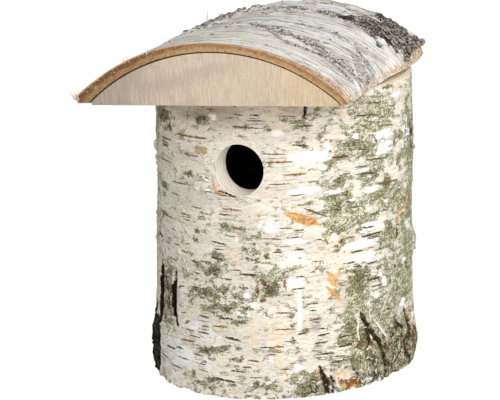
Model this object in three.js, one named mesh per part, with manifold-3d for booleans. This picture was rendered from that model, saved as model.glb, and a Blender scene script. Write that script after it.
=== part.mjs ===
// Bird nest box made from a hollowed birch trunk, with a roof sawn from the side of a thicker log.
// Millimetres, +Z up. The box stands on z = 0 and its entrance looks along -Y.
import * as THREE from 'three';
import { mergeVertices } from 'three/addons/utils/BufferGeometryUtils.js';
import Module from 'manifold-3d';

const wasm = await Module();
wasm.setup();

// Clearance left between neighbouring pieces, and how far a cut runs past the face it opens.
const fitGap = 0.3;
const cutOverrun = 12;

// Trunk: outer sizes over the bark. Both saw cuts are level, and the grain leans a little.
const trunkHeight = 187;
const trunkRootRadius = 84.4;
const trunkTopRadius = 81.7;
const trunkLeanRightShare = 0.046;
const trunkLeanBackShare = 0.057;
const barkThickness = 4.5;
const barkLift = 0.4;
const barkWave = 0.5;
const backFlatDepth = 5.2;

// Nest cavity, bored square to the saw cuts, and the entrance.
const cavityRadius = 62;
const entranceDiameter = 32;
const entranceDrop = 43.3;

// Floor disc, pushed into the bore from below and held by screws through the wall.
const floorThickness = 18;
const drainDiameter = 5;
const drainCircleRadius = 36;

// Roof slab: a side cut of a thicker log, its grain along Y.
const roofLength = 179;
const roofShiftLeft = 8.6;
const roofWoodWidth = 160;
const roofWoodRise = 31.9;
const roofWoodArcRadius = 121.7;
const roofBarkRise = 38;
const roofBarkArcRadius = 132;
const roofBarkShiftLeft = 3;
const roofBarkLift = 1.2;
const roofBarkEdgeSlant = 5;

// Butt hinge of rolled sheet, screwed across the joint at the back.
const hingeLength = 50;
const leafHeight = 16;
const leafThickness = 1.2;
const knuckleRadius = 2.8;
const pinRadius = 1.2;
const pinHeadRadius = 2.2;
const pinHeadThickness = 1;
const pinClearance = 0.25;

// Keyhole plate that the box hangs on, and the pocket behind it for the head of the nail.
const hangerWidth = 30;
const hangerHeight = 58;
const hangerThickness = 1.5;
const hangerCornerRadius = 5;
const hangerDrop = 14;
const hangerScrewPitch = 44;
const keyholeRadius = 5.5;
const keyholeSlotWidth = 5.4;
const keyholeSlotLength = 11;
const pocketMargin = 3;
const pocketDepth = 9;

// Countersunk wood screws.
const hingeScrew = { shankRadius: 1.4, headRadius: 2.6, length: 13, sink: 0 };
const hangerScrew = { shankRadius: 1.7, headRadius: 3.2, length: 15, sink: 0 };
const floorScrew = { shankRadius: 2, headRadius: 4, length: 42, sink: 1.2 };
const screwRimThickness = 0.35;

// Facets and counts.
const knuckleCount = 5;
const hingeScrewCount = 3;
const drainCount = 3;
const boreSides = 48;
const barkSides = 72;
const barkLevels = 18;
const entranceSides = 36;
const roofArcSteps = 24;
const roofStations = 12;
const screwSides = 12;
const knuckleSides = 16;
const drainSides = 12;
const outlineSteps = 6;

// Swellings of the trunk's bark: azimuth from the front towards the right and its spread, in
// degrees, then height and reach as shares of the trunk's height, and rise as a share of the bark.
const trunkSwellShares = [
  { azimuth: 92, spread: 12, height: 0.08, reach: 0.075, rise: 1.05 },
  { azimuth: 62, spread: 9, height: 0.05, reach: 0.1, rise: 0.45 },
  { azimuth: 40, spread: 10, height: 0.02, reach: 0.08, rise: 0.4 },
  { azimuth: -65, spread: 9, height: 0.1, reach: 0.11, rise: 0.8 },
  { azimuth: -70, spread: 12, height: 0.86, reach: 0.1, rise: 0.3 },
  { azimuth: 16, spread: 6, height: 0.38, reach: 0.04, rise: 0.35 },
  { azimuth: 60, spread: 5, height: 0.83, reach: 0.04, rise: 0.5 },
  { azimuth: 100, spread: 16, height: 0.75, reach: 0.12, rise: 0.2 },
  { azimuth: 106, spread: 7, height: 0.41, reach: 0.035, rise: 0.65 },
  { azimuth: 200, spread: 14, height: 0.3, reach: 0.2, rise: 0.35 },
  { azimuth: 250, spread: 10, height: 0.6, reach: 0.1, rise: 0.3 },
];

// Swellings of the roof's bark: across from the left edge and along from the front, with their
// spreads, as shares of the arc and the length, and rise as a share of the bark's thickness.
const roofSwellShares = [
  { across: 0.82, acrossSpread: 0.09, along: 0.72, alongSpread: 0.24, rise: 0.3 },
  { across: 0.62, acrossSpread: 0.07, along: 0.9, alongSpread: 0.12, rise: 0.2 },
  { across: 0.3, acrossSpread: 0.12, along: 0.35, alongSpread: 0.2, rise: 0.15 },
  { across: 0.12, acrossSpread: 0.08, along: 0.6, alongSpread: 0.3, rise: 0.25 },
];

// Edges of the slab from front to back, as shares of half the wood's width.
const woodRightShares = [1, 0.985, 0.98, 0.975, 0.98, 0.975, 0.94];
const barkRightShares = [1.08, 1.055, 1.04, 1.03, 1.06, 1.04, 0.985];
const barkLeftShares = [1.12, 1.13, 1.12, 1.11, 1.12, 1.1, 1.11];

// Azimuths of the floor's screws, all on the side away from the entrance, in degrees.
const floorScrewAzimuths = [130, 190, 250];

// Heights of the hinge's screws on a leaf, as shares of the leaf: the middle one stands off.
const hingeScrewHeightShares = [0.56, 0.72, 0.56];

// Values that follow from the sizes above.
const trunkTopCentre = trunkAxisAt(trunkHeight);
const entranceHeight = trunkHeight - entranceDrop;
const floorScrewHeight = floorThickness / 2;
const cavityCentre = trunkAxisAt(trunkHeight / 2);
const backFlatY = trunkTopCentre.y + trunkTopRadius - backFlatDepth;
const roofFloor = trunkHeight + fitGap;
const roofCentreX = trunkTopCentre.x - roofShiftLeft;
const roofFrontY = backFlatY - roofLength;
const seatY = backFlatY + fitGap;
const hingeAxisY = seatY + knuckleRadius;
const hingeAxisZ = trunkHeight + fitGap / 2;
const hangerCentreHeight = hingeAxisZ - leafHeight - hangerDrop - hangerHeight / 2;
const roofBarkThickness = roofBarkRise - roofWoodRise;

const colours = {
  bark: 0xcfc9bc,
  wood: 0xd9b98c,
  roofWood: 0xd8c3a3,
  roofBark: 0xa9a49a,
  floor: 0xd2b184,
  steel: 0xa7a9ab,
};

// Point of the trunk's axis at a height.
function trunkAxisAt(height) {
  return new THREE.Vector3(trunkLeanRightShare * height, trunkLeanBackShare * height, height);
}

// Radius over the bark at a height, without swellings.
function trunkRadiusAt(height) {
  return THREE.MathUtils.lerp(trunkRootRadius, trunkTopRadius, height / trunkHeight);
}

// Level direction at an azimuth counted from the front (-Y) towards the right (+X).
function outwardAt(azimuth) {
  const angle = THREE.MathUtils.degToRad(azimuth);
  return new THREE.Vector3(Math.sin(angle), -Math.cos(angle), 0);
}

// Bell curve: 1 where the offset is nothing, and almost nothing past two spreads.
function bell(offset, spread) {
  return Math.exp(-((offset / spread) ** 2));
}

// How far the trunk's bark stands out from its plain cone.
function trunkRelief(azimuth, height) {
  let rise = 0;
  for (const swell of trunkSwellShares) {
    const turn = THREE.MathUtils.euclideanModulo(azimuth - swell.azimuth + 180, 360) - 180;
    const up = height / trunkHeight - swell.height;
    rise += barkThickness * swell.rise * bell(turn, swell.spread) * bell(up, swell.reach);
  }
  const around = THREE.MathUtils.degToRad(azimuth);
  const upward = (height / trunkHeight) * Math.PI;
  rise += barkWave * Math.cos(3 * around + upward) * Math.cos(2 * upward);
  rise += barkWave * Math.sin(7 * around + 2 * upward) / 2;
  return rise;
}

// Closed solid through equal rings of points, each end closed by a fan round its middle. Seen
// from the last ring, the points of every ring run anticlockwise.
function ringStack(rings) {
  const sides = rings[0].length;
  const positions = rings.flat().flatMap((point) => point.toArray());
  const indices = [];
  for (let level = 0; level < rings.length - 1; level += 1) {
    for (let side = 0; side < sides; side += 1) {
      const low = level * sides;
      const next = (side + 1) % sides;
      indices.push(low + side, low + next, low + sides + next);
      indices.push(low + side, low + sides + next, low + sides + side);
    }
  }
  const last = (rings.length - 1) * sides;
  const firstMiddle = rings.length * sides;
  for (const ring of [rings[0], rings[rings.length - 1]]) {
    const middle = new THREE.Vector3();
    ring.forEach((point) => middle.addScaledVector(point, 1 / sides));
    positions.push(...middle.toArray());
  }
  for (let side = 0; side < sides; side += 1) {
    const next = (side + 1) % sides;
    indices.push(firstMiddle, next, side);
    indices.push(firstMiddle + 1, last + side, last + next);
  }
  const geometry = new THREE.BufferGeometry();
  geometry.setAttribute('position', new THREE.Float32BufferAttribute(positions, 3));
  geometry.setIndex(indices);
  return toSolid(geometry);
}

// Ring of points round the trunk's axis.
function trunkRing(height, sides, radiusAt) {
  const centre = trunkAxisAt(height);
  return Array.from({ length: sides }, (_, side) => {
    const azimuth = (side / sides) * 360;
    return centre.clone().addScaledVector(outwardAt(azimuth), radiusAt(azimuth));
  });
}

// Plain leaning cone of the trunk, a given depth below the bark's surface.
function trunkCore(low, high, depth) {
  return ringStack([low, high].map((height) => (
    trunkRing(height, boreSides, () => trunkRadiusAt(height) - depth)
  )));
}

// Solid from a three.js geometry, with shared corners merged and empty triangles left out.
function toSolid(geometry) {
  const bare = new THREE.BufferGeometry();
  bare.setAttribute('position', geometry.getAttribute('position'));
  bare.setIndex(geometry.getIndex());
  const merged = mergeVertices(bare);
  const corners = Array.from(merged.getIndex().array);
  const triangles = [];
  for (let start = 0; start < corners.length; start += 3) {
    const [a, b, c] = corners.slice(start, start + 3);
    if (a !== b && b !== c && c !== a) {
      triangles.push(a, b, c);
    }
  }
  return new wasm.Manifold(new wasm.Mesh({
    numProp: 3,
    vertProperties: new Float32Array(merged.getAttribute('position').array),
    triVerts: new Uint32Array(triangles),
  }));
}

// Named mesh from a solid.
function toMesh(name, solid, colour, roughness, metalness) {
  const { vertProperties, triVerts } = solid.getMesh();
  const geometry = new THREE.BufferGeometry();
  geometry.setAttribute('position', new THREE.BufferAttribute(vertProperties, 3));
  geometry.setIndex(new THREE.BufferAttribute(triVerts, 1));
  geometry.computeVertexNormals();
  const material = new THREE.MeshStandardMaterial({ color: colour, roughness, metalness });
  const mesh = new THREE.Mesh(geometry, material);
  mesh.name = name;
  return mesh;
}

function woodMesh(name, solid, colour) {
  return toMesh(name, solid, colour, 0.85, 0);
}

function steelMesh(name, solid) {
  return toMesh(name, solid, colours.steel, 0.4, 0.9);
}

// Round bar between two points.
function bar(start, end, radius, sides) {
  const along = end.clone().sub(start);
  const geometry = new THREE.CylinderGeometry(radius, radius, along.length(), sides);
  geometry.applyQuaternion(
    new THREE.Quaternion().setFromUnitVectors(new THREE.Vector3(0, 1, 0), along.normalize()),
  );
  const middle = start.clone().lerp(end, 1 / 2);
  geometry.translate(middle.x, middle.y, middle.z);
  return toSolid(geometry);
}

// Box between two corners.
function block(low, high) {
  const size = high.clone().sub(low);
  const middle = low.clone().lerp(high, 1 / 2);
  const geometry = new THREE.BoxGeometry(size.x, size.y, size.z);
  geometry.translate(middle.x, middle.y, middle.z);
  return toSolid(geometry);
}

// Turned shape: radius and distance along the direction that it points in, from its start point.
function turned(profile, start, direction, sides) {
  const points = profile.map(([radius, distance]) => new THREE.Vector2(radius, distance));
  const geometry = new THREE.LatheGeometry(points, sides);
  geometry.applyQuaternion(
    new THREE.Quaternion().setFromUnitVectors(new THREE.Vector3(0, 1, 0), direction),
  );
  geometry.translate(start.x, start.y, start.z);
  return toSolid(geometry);
}

// Countersunk screw whose head lies at a face, driven in against the face's outward direction.
function screwSolid(face, outward, screw) {
  const tip = face.clone().addScaledVector(outward, -screw.sink - screw.length);
  const coneHeight = screw.headRadius - screw.shankRadius;
  const profile = [
    [0, 0],
    [screw.shankRadius, 2 * screw.shankRadius],
    [screw.shankRadius, screw.length - screwRimThickness - coneHeight],
    [screw.headRadius, screw.length - screwRimThickness],
    [screw.headRadius, screw.length],
    [0, screw.length],
  ];
  return turned(profile, tip, outward, screwSides);
}

// Hole for such a screw, wider by the clearance and open past the face.
function screwHole(face, outward, screw) {
  const tip = face.clone().addScaledVector(outward, -screw.sink - screw.length - fitGap);
  const coneHeight = screw.headRadius - screw.shankRadius;
  const depth = screw.length + fitGap;
  const profile = [
    [0, 0],
    [screw.shankRadius + fitGap, 0],
    [screw.shankRadius + fitGap, depth - screwRimThickness - coneHeight - fitGap],
    [screw.headRadius + fitGap, depth - screwRimThickness - fitGap],
    [screw.headRadius + fitGap, depth + cutOverrun],
    [0, depth + cutOverrun],
  ];
  return turned(profile, tip, outward, screwSides);
}

const backward = new THREE.Vector3(0, 1, 0);

// The screws of one hinge leaf: upSign is 1 for the roof's leaf and -1 for the trunk's.
function hingeScrewFaces(upSign) {
  return hingeScrewHeightShares.map((share, index) => new THREE.Vector3(
    trunkTopCentre.x + ((index + 1 / 2) / hingeScrewCount - 1 / 2) * hingeLength,
    seatY + leafThickness,
    hingeAxisZ + upSign * share * leafHeight,
  ));
}

function hangerScrewFaces() {
  const x = trunkAxisAt(hangerCentreHeight).x;
  return [1, -1].map((sign) => new THREE.Vector3(
    x,
    seatY + hangerThickness,
    hangerCentreHeight + (sign * hangerScrewPitch) / 2,
  ));
}

// Where each floor screw meets the bark, and its outward direction.
function floorScrewSeats() {
  return floorScrewAzimuths.map((azimuth) => {
    const outward = outwardAt(azimuth);
    const radius = trunkRadiusAt(floorScrewHeight) + trunkRelief(azimuth, floorScrewHeight);
    const face = trunkAxisAt(floorScrewHeight).addScaledVector(outward, radius);
    return { face, outward };
  });
}

function floorScrewHoles() {
  return floorScrewSeats().map(({ face, outward }) => screwHole(face, outward, floorScrew));
}

function entranceBore() {
  const centre = trunkAxisAt(entranceHeight);
  const start = centre.clone().setY(centre.y - trunkRootRadius - cutOverrun);
  const end = centre.clone().setY(cavityCentre.y);
  return bar(start, end, entranceDiameter / 2, entranceSides);
}

// Everything behind the planed back.
function behindBackFlat() {
  const reach = trunkRootRadius + cutOverrun;
  return block(
    new THREE.Vector3(-reach, backFlatY, -cutOverrun),
    new THREE.Vector3(reach, backFlatY + reach, trunkHeight + cutOverrun),
  );
}

// Outline of the keyhole, or of the pocket behind it when a margin is given.
function keyholeOutline(margin) {
  const shape = new THREE.Shape();
  const slotHalf = keyholeSlotWidth / 2 + margin;
  const wide = keyholeRadius + margin;
  const start = Math.acos(slotHalf / wide);
  shape.absarc(0, 0, wide, start, Math.PI - start, true);
  shape.absarc(0, keyholeRadius + keyholeSlotLength, slotHalf, Math.PI, 0, true);
  shape.closePath();
  return shape;
}

// Shape in the plane of the back, carried from one depth to another. The shape's x runs to the
// left seen from behind, as the model's x does, and its y runs up.
function backExtrusion(shape, height, nearY, farY) {
  const geometry = new THREE.ExtrudeGeometry(shape, {
    depth: farY - nearY,
    bevelEnabled: false,
    curveSegments: outlineSteps,
  });
  geometry.rotateX(Math.PI / 2);
  geometry.translate(trunkAxisAt(hangerCentreHeight).x, farY, height);
  return toSolid(mergeVertices(stripped(geometry)));
}

function stripped(geometry) {
  geometry.deleteAttribute('normal');
  geometry.deleteAttribute('uv');
  return geometry;
}

// Height of the middle of the keyhole's round part.
function keyholeHeight() {
  return hangerCentreHeight - (keyholeRadius + keyholeSlotLength) / 2;
}

function makeTrunkWood() {
  const cavityLow = cavityCentre.clone().setZ(-cutOverrun);
  const cavityHigh = cavityCentre.clone().setZ(trunkHeight + cutOverrun);
  let wood = trunkCore(0, trunkHeight, barkThickness);
  wood = wood.subtract(bar(cavityLow, cavityHigh, cavityRadius, boreSides));
  wood = wood.subtract(entranceBore());
  wood = wood.subtract(behindBackFlat());
  wood = wood.subtract(backExtrusion(
    keyholeOutline(pocketMargin),
    keyholeHeight(),
    backFlatY - pocketDepth,
    backFlatY + cutOverrun,
  ));
  for (const hole of backScrewHoles()) {
    wood = wood.subtract(hole);
  }
  return woodMesh('trunk_wood', wood, colours.wood);
}

function backScrewHoles() {
  return [
    ...hingeScrewFaces(-1).map((face) => screwHole(face, backward, hingeScrew)),
    ...hangerScrewFaces().map((face) => screwHole(face, backward, hangerScrew)),
    ...floorScrewHoles(),
  ];
}

function makeTrunkBark() {
  const rings = Array.from({ length: barkLevels + 1 }, (_, level) => {
    const height = THREE.MathUtils.lerp(barkLift, trunkHeight, level / barkLevels);
    return trunkRing(height, barkSides, (azimuth) => (
      trunkRadiusAt(height) + trunkRelief(azimuth, height)
    ));
  });
  let bark = ringStack(rings);
  bark = bark.subtract(trunkCore(-cutOverrun, trunkHeight + cutOverrun, barkThickness - fitGap));
  bark = bark.subtract(entranceBore());
  bark = bark.subtract(behindBackFlat());
  bark = bark.subtract(backExtrusion(
    keyholeOutline(pocketMargin),
    keyholeHeight(),
    backFlatY - pocketDepth,
    backFlatY + cutOverrun,
  ));
  for (const hole of backScrewHoles()) {
    bark = bark.subtract(hole);
  }
  return woodMesh('trunk_bark', bark, colours.bark);
}

function makeFloor() {
  const radius = cavityRadius - fitGap;
  let floor = bar(
    cavityCentre.clone().setZ(0),
    cavityCentre.clone().setZ(floorThickness),
    radius,
    boreSides,
  );
  for (let index = 0; index < drainCount; index += 1) {
    const middle = cavityCentre.clone()
      .addScaledVector(outwardAt((index / drainCount) * 360), drainCircleRadius);
    floor = floor.subtract(bar(
      middle.clone().setZ(-cutOverrun),
      middle.clone().setZ(floorThickness + cutOverrun),
      drainDiameter / 2,
      drainSides,
    ));
  }
  for (const hole of floorScrewHoles()) {
    floor = floor.subtract(hole);
  }
  return woodMesh('floor_disc', floor, colours.floor);
}

// Share along the list, read with straight lines between its values.
function along(shares, share) {
  const place = share * (shares.length - 1);
  const index = Math.min(Math.floor(place), shares.length - 2);
  return THREE.MathUtils.lerp(shares[index], shares[index + 1], place - index);
}

// Section of the slab at a depth: an arc from the left edge to the right one, closed by the
// flat underside, whose right corner stands out past the arc's end by the slant.
function slabRing({ y, bottom, rise, arcRadius, centreX, left, right, slant, reliefAt }) {
  const centreZ = bottom + rise - arcRadius;
  const angleOf = (x) => Math.asin((x - centreX) / arcRadius);
  const ring = [];
  for (let step = 0; step <= roofArcSteps; step += 1) {
    const across = step / roofArcSteps;
    const angle = THREE.MathUtils.lerp(angleOf(left), angleOf(right), across);
    const radius = arcRadius + reliefAt(across);
    ring.push(new THREE.Vector3(
      centreX + radius * Math.sin(angle),
      y,
      centreZ + radius * Math.cos(angle),
    ));
  }
  ring.push(new THREE.Vector3(ring[ring.length - 1].x + slant, y, bottom));
  ring.push(new THREE.Vector3(ring[0].x, y, bottom));
  return ring;
}

function roofWoodRing(y, share, spread) {
  return slabRing({
    y,
    bottom: roofFloor - spread,
    rise: roofWoodRise + 2 * spread,
    arcRadius: roofWoodArcRadius + spread,
    centreX: roofCentreX,
    left: roofCentreX - roofWoodWidth / 2 - spread,
    right: roofCentreX + (roofWoodWidth / 2) * along(woodRightShares, share) + spread,
    slant: 0,
    reliefAt: () => 0,
  });
}

// Solid of the slab's wood, spread outwards by a clearance and past its ends where it is a cut.
function roofWoodSolid(spread, overrun) {
  const rings = [];
  for (let station = 0; station <= roofStations; station += 1) {
    const share = station / roofStations;
    rings.push(roofWoodRing(roofFrontY + share * roofLength, share, spread));
  }
  if (overrun > 0) {
    rings.unshift(roofWoodRing(roofFrontY - overrun, 0, spread));
    rings.push(roofWoodRing(backFlatY + overrun, 1, spread));
  }
  return ringStack(rings);
}

function roofRelief(across, share) {
  let rise = 0;
  for (const swell of roofSwellShares) {
    rise += roofBarkThickness * swell.rise
      * bell(across - swell.across, swell.acrossSpread)
      * bell(share - swell.along, swell.alongSpread);
  }
  return rise;
}

function makeRoofWood() {
  let wood = roofWoodSolid(0, 0);
  for (const face of hingeScrewFaces(1)) {
    wood = wood.subtract(screwHole(face, backward, hingeScrew));
  }
  return woodMesh('roof_wood', wood, colours.roofWood);
}

function makeRoofBark() {
  const rings = [];
  const centreX = roofCentreX - roofBarkShiftLeft;
  const bottom = roofFloor + roofBarkLift;
  const rise = roofBarkRise - roofBarkLift;
  for (let station = 0; station <= roofStations; station += 1) {
    const share = station / roofStations;
    rings.push(slabRing({
      y: roofFrontY + share * roofLength,
      bottom,
      rise,
      arcRadius: roofBarkArcRadius,
      centreX,
      left: roofCentreX - (roofWoodWidth / 2) * along(barkLeftShares, share),
      right: roofCentreX + (roofWoodWidth / 2) * along(barkRightShares, share) - roofBarkEdgeSlant,
      slant: roofBarkEdgeSlant,
      reliefAt: (across) => roofRelief(across, share),
    }));
  }
  const bark = ringStack(rings).subtract(roofWoodSolid(fitGap, cutOverrun));
  return woodMesh('roof_bark', bark, colours.roofBark);
}

// One leaf of the hinge: its sheet, the knuckles that it is rolled into, and room for the other
// leaf's knuckles.
function leafSolid(upSign, firstKnuckle) {
  const left = trunkTopCentre.x - hingeLength / 2;
  const pitch = hingeLength / knuckleCount;
  const room = knuckleRadius + fitGap;
  const sheetEnd = hingeAxisZ + upSign * leafHeight;
  let leaf = block(
    new THREE.Vector3(left, seatY, Math.min(hingeAxisZ, sheetEnd)),
    new THREE.Vector3(left + hingeLength, seatY + leafThickness, Math.max(hingeAxisZ, sheetEnd)),
  );
  for (let index = 1 - firstKnuckle; index < knuckleCount; index += 2) {
    leaf = leaf.subtract(block(
      new THREE.Vector3(
        left + index * pitch - (index === 0 ? cutOverrun : fitGap / 2),
        seatY - room,
        hingeAxisZ - room,
      ),
      new THREE.Vector3(
        left + (index + 1) * pitch + (index === knuckleCount - 1 ? cutOverrun : fitGap / 2),
        hingeAxisY + room,
        hingeAxisZ + room,
      ),
    ));
  }
  for (let index = firstKnuckle; index < knuckleCount; index += 2) {
    leaf = leaf.add(bar(
      new THREE.Vector3(left + index * pitch + fitGap / 2, hingeAxisY, hingeAxisZ),
      new THREE.Vector3(left + (index + 1) * pitch - fitGap / 2, hingeAxisY, hingeAxisZ),
      knuckleRadius,
      knuckleSides,
    ));
  }
  leaf = leaf.subtract(bar(
    new THREE.Vector3(left - cutOverrun, hingeAxisY, hingeAxisZ),
    new THREE.Vector3(left + hingeLength + cutOverrun, hingeAxisY, hingeAxisZ),
    pinRadius + pinClearance,
    knuckleSides,
  ));
  for (const face of hingeScrewFaces(upSign)) {
    leaf = leaf.subtract(screwHole(face, backward, hingeScrew));
  }
  return leaf;
}

function makeHinge() {
  const pinLength = hingeLength + 2 * fitGap;
  const pinProfile = [
    [0, -pinHeadThickness],
    [pinHeadRadius, -pinHeadThickness],
    [pinHeadRadius, 0],
    [pinRadius, 0],
    [pinRadius, pinLength],
    [pinHeadRadius, pinLength],
    [pinHeadRadius, pinLength + pinHeadThickness],
    [0, pinLength + pinHeadThickness],
  ];
  const pinStart = new THREE.Vector3(trunkTopCentre.x - pinLength / 2, hingeAxisY, hingeAxisZ);
  const pin = turned(pinProfile, pinStart, new THREE.Vector3(1, 0, 0), knuckleSides);
  return [
    steelMesh('hinge_trunk_leaf', leafSolid(-1, 0)),
    steelMesh('hinge_roof_leaf', leafSolid(1, 1)),
    steelMesh('hinge_pin', pin),
    ...hingeScrewFaces(-1).map((face, index) => (
      steelMesh(`hinge_trunk_screw_${index + 1}`, screwSolid(face, backward, hingeScrew))
    )),
    ...hingeScrewFaces(1).map((face, index) => (
      steelMesh(`hinge_roof_screw_${index + 1}`, screwSolid(face, backward, hingeScrew))
    )),
  ];
}

function roundedPlate(width, height, radius) {
  const shape = new THREE.Shape();
  const x = width / 2 - radius;
  const y = height / 2 - radius;
  shape.absarc(x, y, radius, 0, Math.PI / 2);
  shape.absarc(-x, y, radius, Math.PI / 2, Math.PI);
  shape.absarc(-x, -y, radius, Math.PI, (3 * Math.PI) / 2);
  shape.absarc(x, -y, radius, (3 * Math.PI) / 2, 2 * Math.PI);
  shape.closePath();
  return shape;
}

function makeHanger() {
  let plate = backExtrusion(
    roundedPlate(hangerWidth, hangerHeight, hangerCornerRadius),
    hangerCentreHeight,
    seatY,
    seatY + hangerThickness,
  );
  plate = plate.subtract(backExtrusion(
    keyholeOutline(0),
    keyholeHeight(),
    seatY - cutOverrun,
    seatY + cutOverrun,
  ));
  for (const face of hangerScrewFaces()) {
    plate = plate.subtract(screwHole(face, backward, hangerScrew));
  }
  return [
    steelMesh('hanger_plate', plate),
    ...hangerScrewFaces().map((face, index) => (
      steelMesh(`hanger_screw_${index + 1}`, screwSolid(face, backward, hangerScrew))
    )),
  ];
}

function makeFloorScrews() {
  return floorScrewSeats().map(({ face, outward }, index) => (
    steelMesh(`floor_screw_${index + 1}`, screwSolid(face, outward, floorScrew))
  ));
}

const box = new THREE.Group();
box.add(makeTrunkWood(), makeTrunkBark(), makeFloor(), ...makeFloorScrews());
box.add(makeRoofWood(), makeRoofBark(), ...makeHinge(), ...makeHanger());

export default box;
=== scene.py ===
"""Looks of the bird nest box: a hollowed birch trunk under a roof slab that keeps its bark.

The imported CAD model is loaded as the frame. Each visible wooden or bark piece is replaced by a
finer surface worked out with numpy from the same sizes, in millimetres, and set in the frame's
metres. Azimuth is counted in degrees from the front (-Y) towards the right (+X).
"""

from math import cos, radians, sin

import bmesh
import bpy
import numpy as np
from bpy.props import FloatProperty, FloatVectorProperty, PointerProperty
from bpy.types import Operator, Panel, PropertyGroup
from mathutils import Matrix, Vector


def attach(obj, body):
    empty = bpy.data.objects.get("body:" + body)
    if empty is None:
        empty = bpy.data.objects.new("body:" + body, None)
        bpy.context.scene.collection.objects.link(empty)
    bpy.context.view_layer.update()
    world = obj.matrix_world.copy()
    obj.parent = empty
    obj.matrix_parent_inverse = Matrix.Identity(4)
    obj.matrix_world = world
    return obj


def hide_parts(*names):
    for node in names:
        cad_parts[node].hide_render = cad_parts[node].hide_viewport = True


bl_info = {
    "name": "Bird Nest Box",
    "version": (1, 0, 0),
    "blender": (4, 5, 0),
    "location": "View3D > Sidebar > Nest Box",
    "description": "Builds the bark, wood and fittings of a birch nest box on its CAD frame",
    "category": "Add Mesh",
}

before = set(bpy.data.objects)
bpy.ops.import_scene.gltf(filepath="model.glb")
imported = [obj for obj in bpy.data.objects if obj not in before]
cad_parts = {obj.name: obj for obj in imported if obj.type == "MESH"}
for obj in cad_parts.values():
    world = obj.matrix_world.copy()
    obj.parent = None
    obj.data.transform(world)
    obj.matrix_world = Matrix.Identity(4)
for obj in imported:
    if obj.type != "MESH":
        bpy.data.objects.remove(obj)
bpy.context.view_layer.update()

MM = 0.001

# Trunk, in millimetres, as in the part's source.
TRUNK_HEIGHT = 187
TRUNK_ROOT_RADIUS = 84.4
TRUNK_TOP_RADIUS = 81.7
LEAN_RIGHT = 0.046
LEAN_BACK = 0.057
BARK_THICKNESS = 4.5
BARK_LIFT = 0.4
BARK_WAVE = 0.5
FIT_GAP = 0.3
CAVITY_RADIUS = 62
CAVITY_X = 4.301
CAVITY_Y = 5.33
ENTRANCE_RADIUS = 16
ENTRANCE_HEIGHT = 143.7
ENTRANCE_REACH = 105.33
BACK_FLAT_Y = 87.159

# Swellings of the trunk: azimuth and half width in degrees, level and reach as shares of the
# height, and how far each stands out as a share of the bark's thickness.
TRUNK_SWELLS = (
    (92, 12, .08, .075, 1.05), (62, 9, .05, .1, .45), (40, 10, .02, .08, .4),
    (-65, 9, .1, .11, .8), (-70, 12, .86, .1, .3), (16, 6, .38, .04, .35), (60, 5, .83, .04, .5),
    (100, 16, .75, .12, .2), (106, 7, .41, .035, .65), (200, 14, .3, .2, .35),
    (250, 10, .6, .1, .3),
)

# Roof slab, in millimetres.
ROOF_FLOOR = 187.3
ROOF_FRONT_Y = -91.841
ROOF_LENGTH = 179
ROOF_HALF_WIDTH = 80
ROOF_WOOD_RISE = 31.9
ROOF_WOOD_ARC = 121.7
ROOF_BARK_RISE = 38
ROOF_BARK_ARC = 132
ROOF_BARK_SHIFT = 3
ROOF_BARK_LIFT = 1.2
ROOF_BARK_FOOT = ROOF_FLOOR + ROOF_BARK_LIFT
ROOF_BARK_THICKNESS = 6.1
ROOF_EDGE_SLANT = 5

# Where the slab's edges lie at even steps from front to back, as shares of its half width.
WOOD_RIGHT = (1, .985, .98, .975, .98, .975, .94)
BARK_RIGHT = (1.08, 1.055, 1.04, 1.03, 1.06, 1.04, .985)
BARK_LEFT = (1.12, 1.13, 1.12, 1.11, 1.12, 1.1, 1.11)

# Swellings of the roof's bark: share of the arc and half width, share of the length and half
# length, and how far each stands out as a share of the bark's thickness.
ROOF_SWELLS = (
    (.82, .09, .72, .24, .3), (.62, .07, .9, .12, .2), (.3, .12, .35, .2, .15),
    (.12, .08, .6, .3, .25),
)

# Fittings at the back, in millimetres. A screw's sizes are the radii of its shank and head, its
# length, and how deep it is sunk where it is.
BACKWARD = (0, 1, 0)
SCREW_RIM = .35
HINGE_AXIS_Z = 187.15
HINGE_FACE_Y = 88.659
HINGE_LEAF = 16
HINGE_SCREW_X = (-8.065, 8.602, 25.269)
HINGE_SCREW_SHARES = (.56, .72, .56)
HINGE_SCREW = (1.4, 2.6, 13)
HANGER_X = 5.895
HANGER_Z = 128.15
HANGER_FACE_Y = 88.959
HANGER_PITCH = 22
HANGER_SCREW = (1.7, 3.2, 15)
FLOOR_SCREW_AZIMUTHS = (130, 190, 250)
FLOOR_SCREW_Z = 9
FLOOR_SCREW = (2, 4, 42, 1.2)
KEYHOLE_RADIUS = 5.5
KEYHOLE_SLOT = 5.4
KEYHOLE_RUN = 11
KEYHOLE_Z = 119.9
POCKET_MARGIN = 3
POCKET_DEPTH = 9
PAST_BACK = 12

# Thread of a screw: pitch and depth, and how far it starts from the point and ends below the neck.
THREAD_PITCH = .7
THREAD_DEPTH = .22
THREAD_START = 1.4
THREAD_END = 3

# Fineness of the grids and of turned shapes.
BARK_LOOK_AZIMUTH = 22
BARK_COLUMNS = 430
BARK_ROWS = 205
BARK_INNER_ROWS = 5
WOOD_COLUMNS = 256
WOOD_ROWS = 24
ROOF_STATIONS = 185
ROOF_COLUMNS = 210
ROOF_WOOD_STATIONS = 13
ROOF_WOOD_COLUMNS = 160
EDGE_POINTS = 6
END_LAYERS = 5
BORE_SIDES = 160
SCREW_SIDES = 40
HOLE_SIDES = 36
SHEET_ROWS = 6
SHEET_COLUMNS = 5
STRAND_RINGS = 5

# Factors that mix the indices of a cell into a number, and how many bits of it are kept.
MIX_X = 374761393
MIX_Y = 668265263
MIX_Z = 974634777
MIX_SEED = 1274126177
LOW_WORD = 0xFFFFFFFF
LOW_HALF = 0xFFFF

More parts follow.
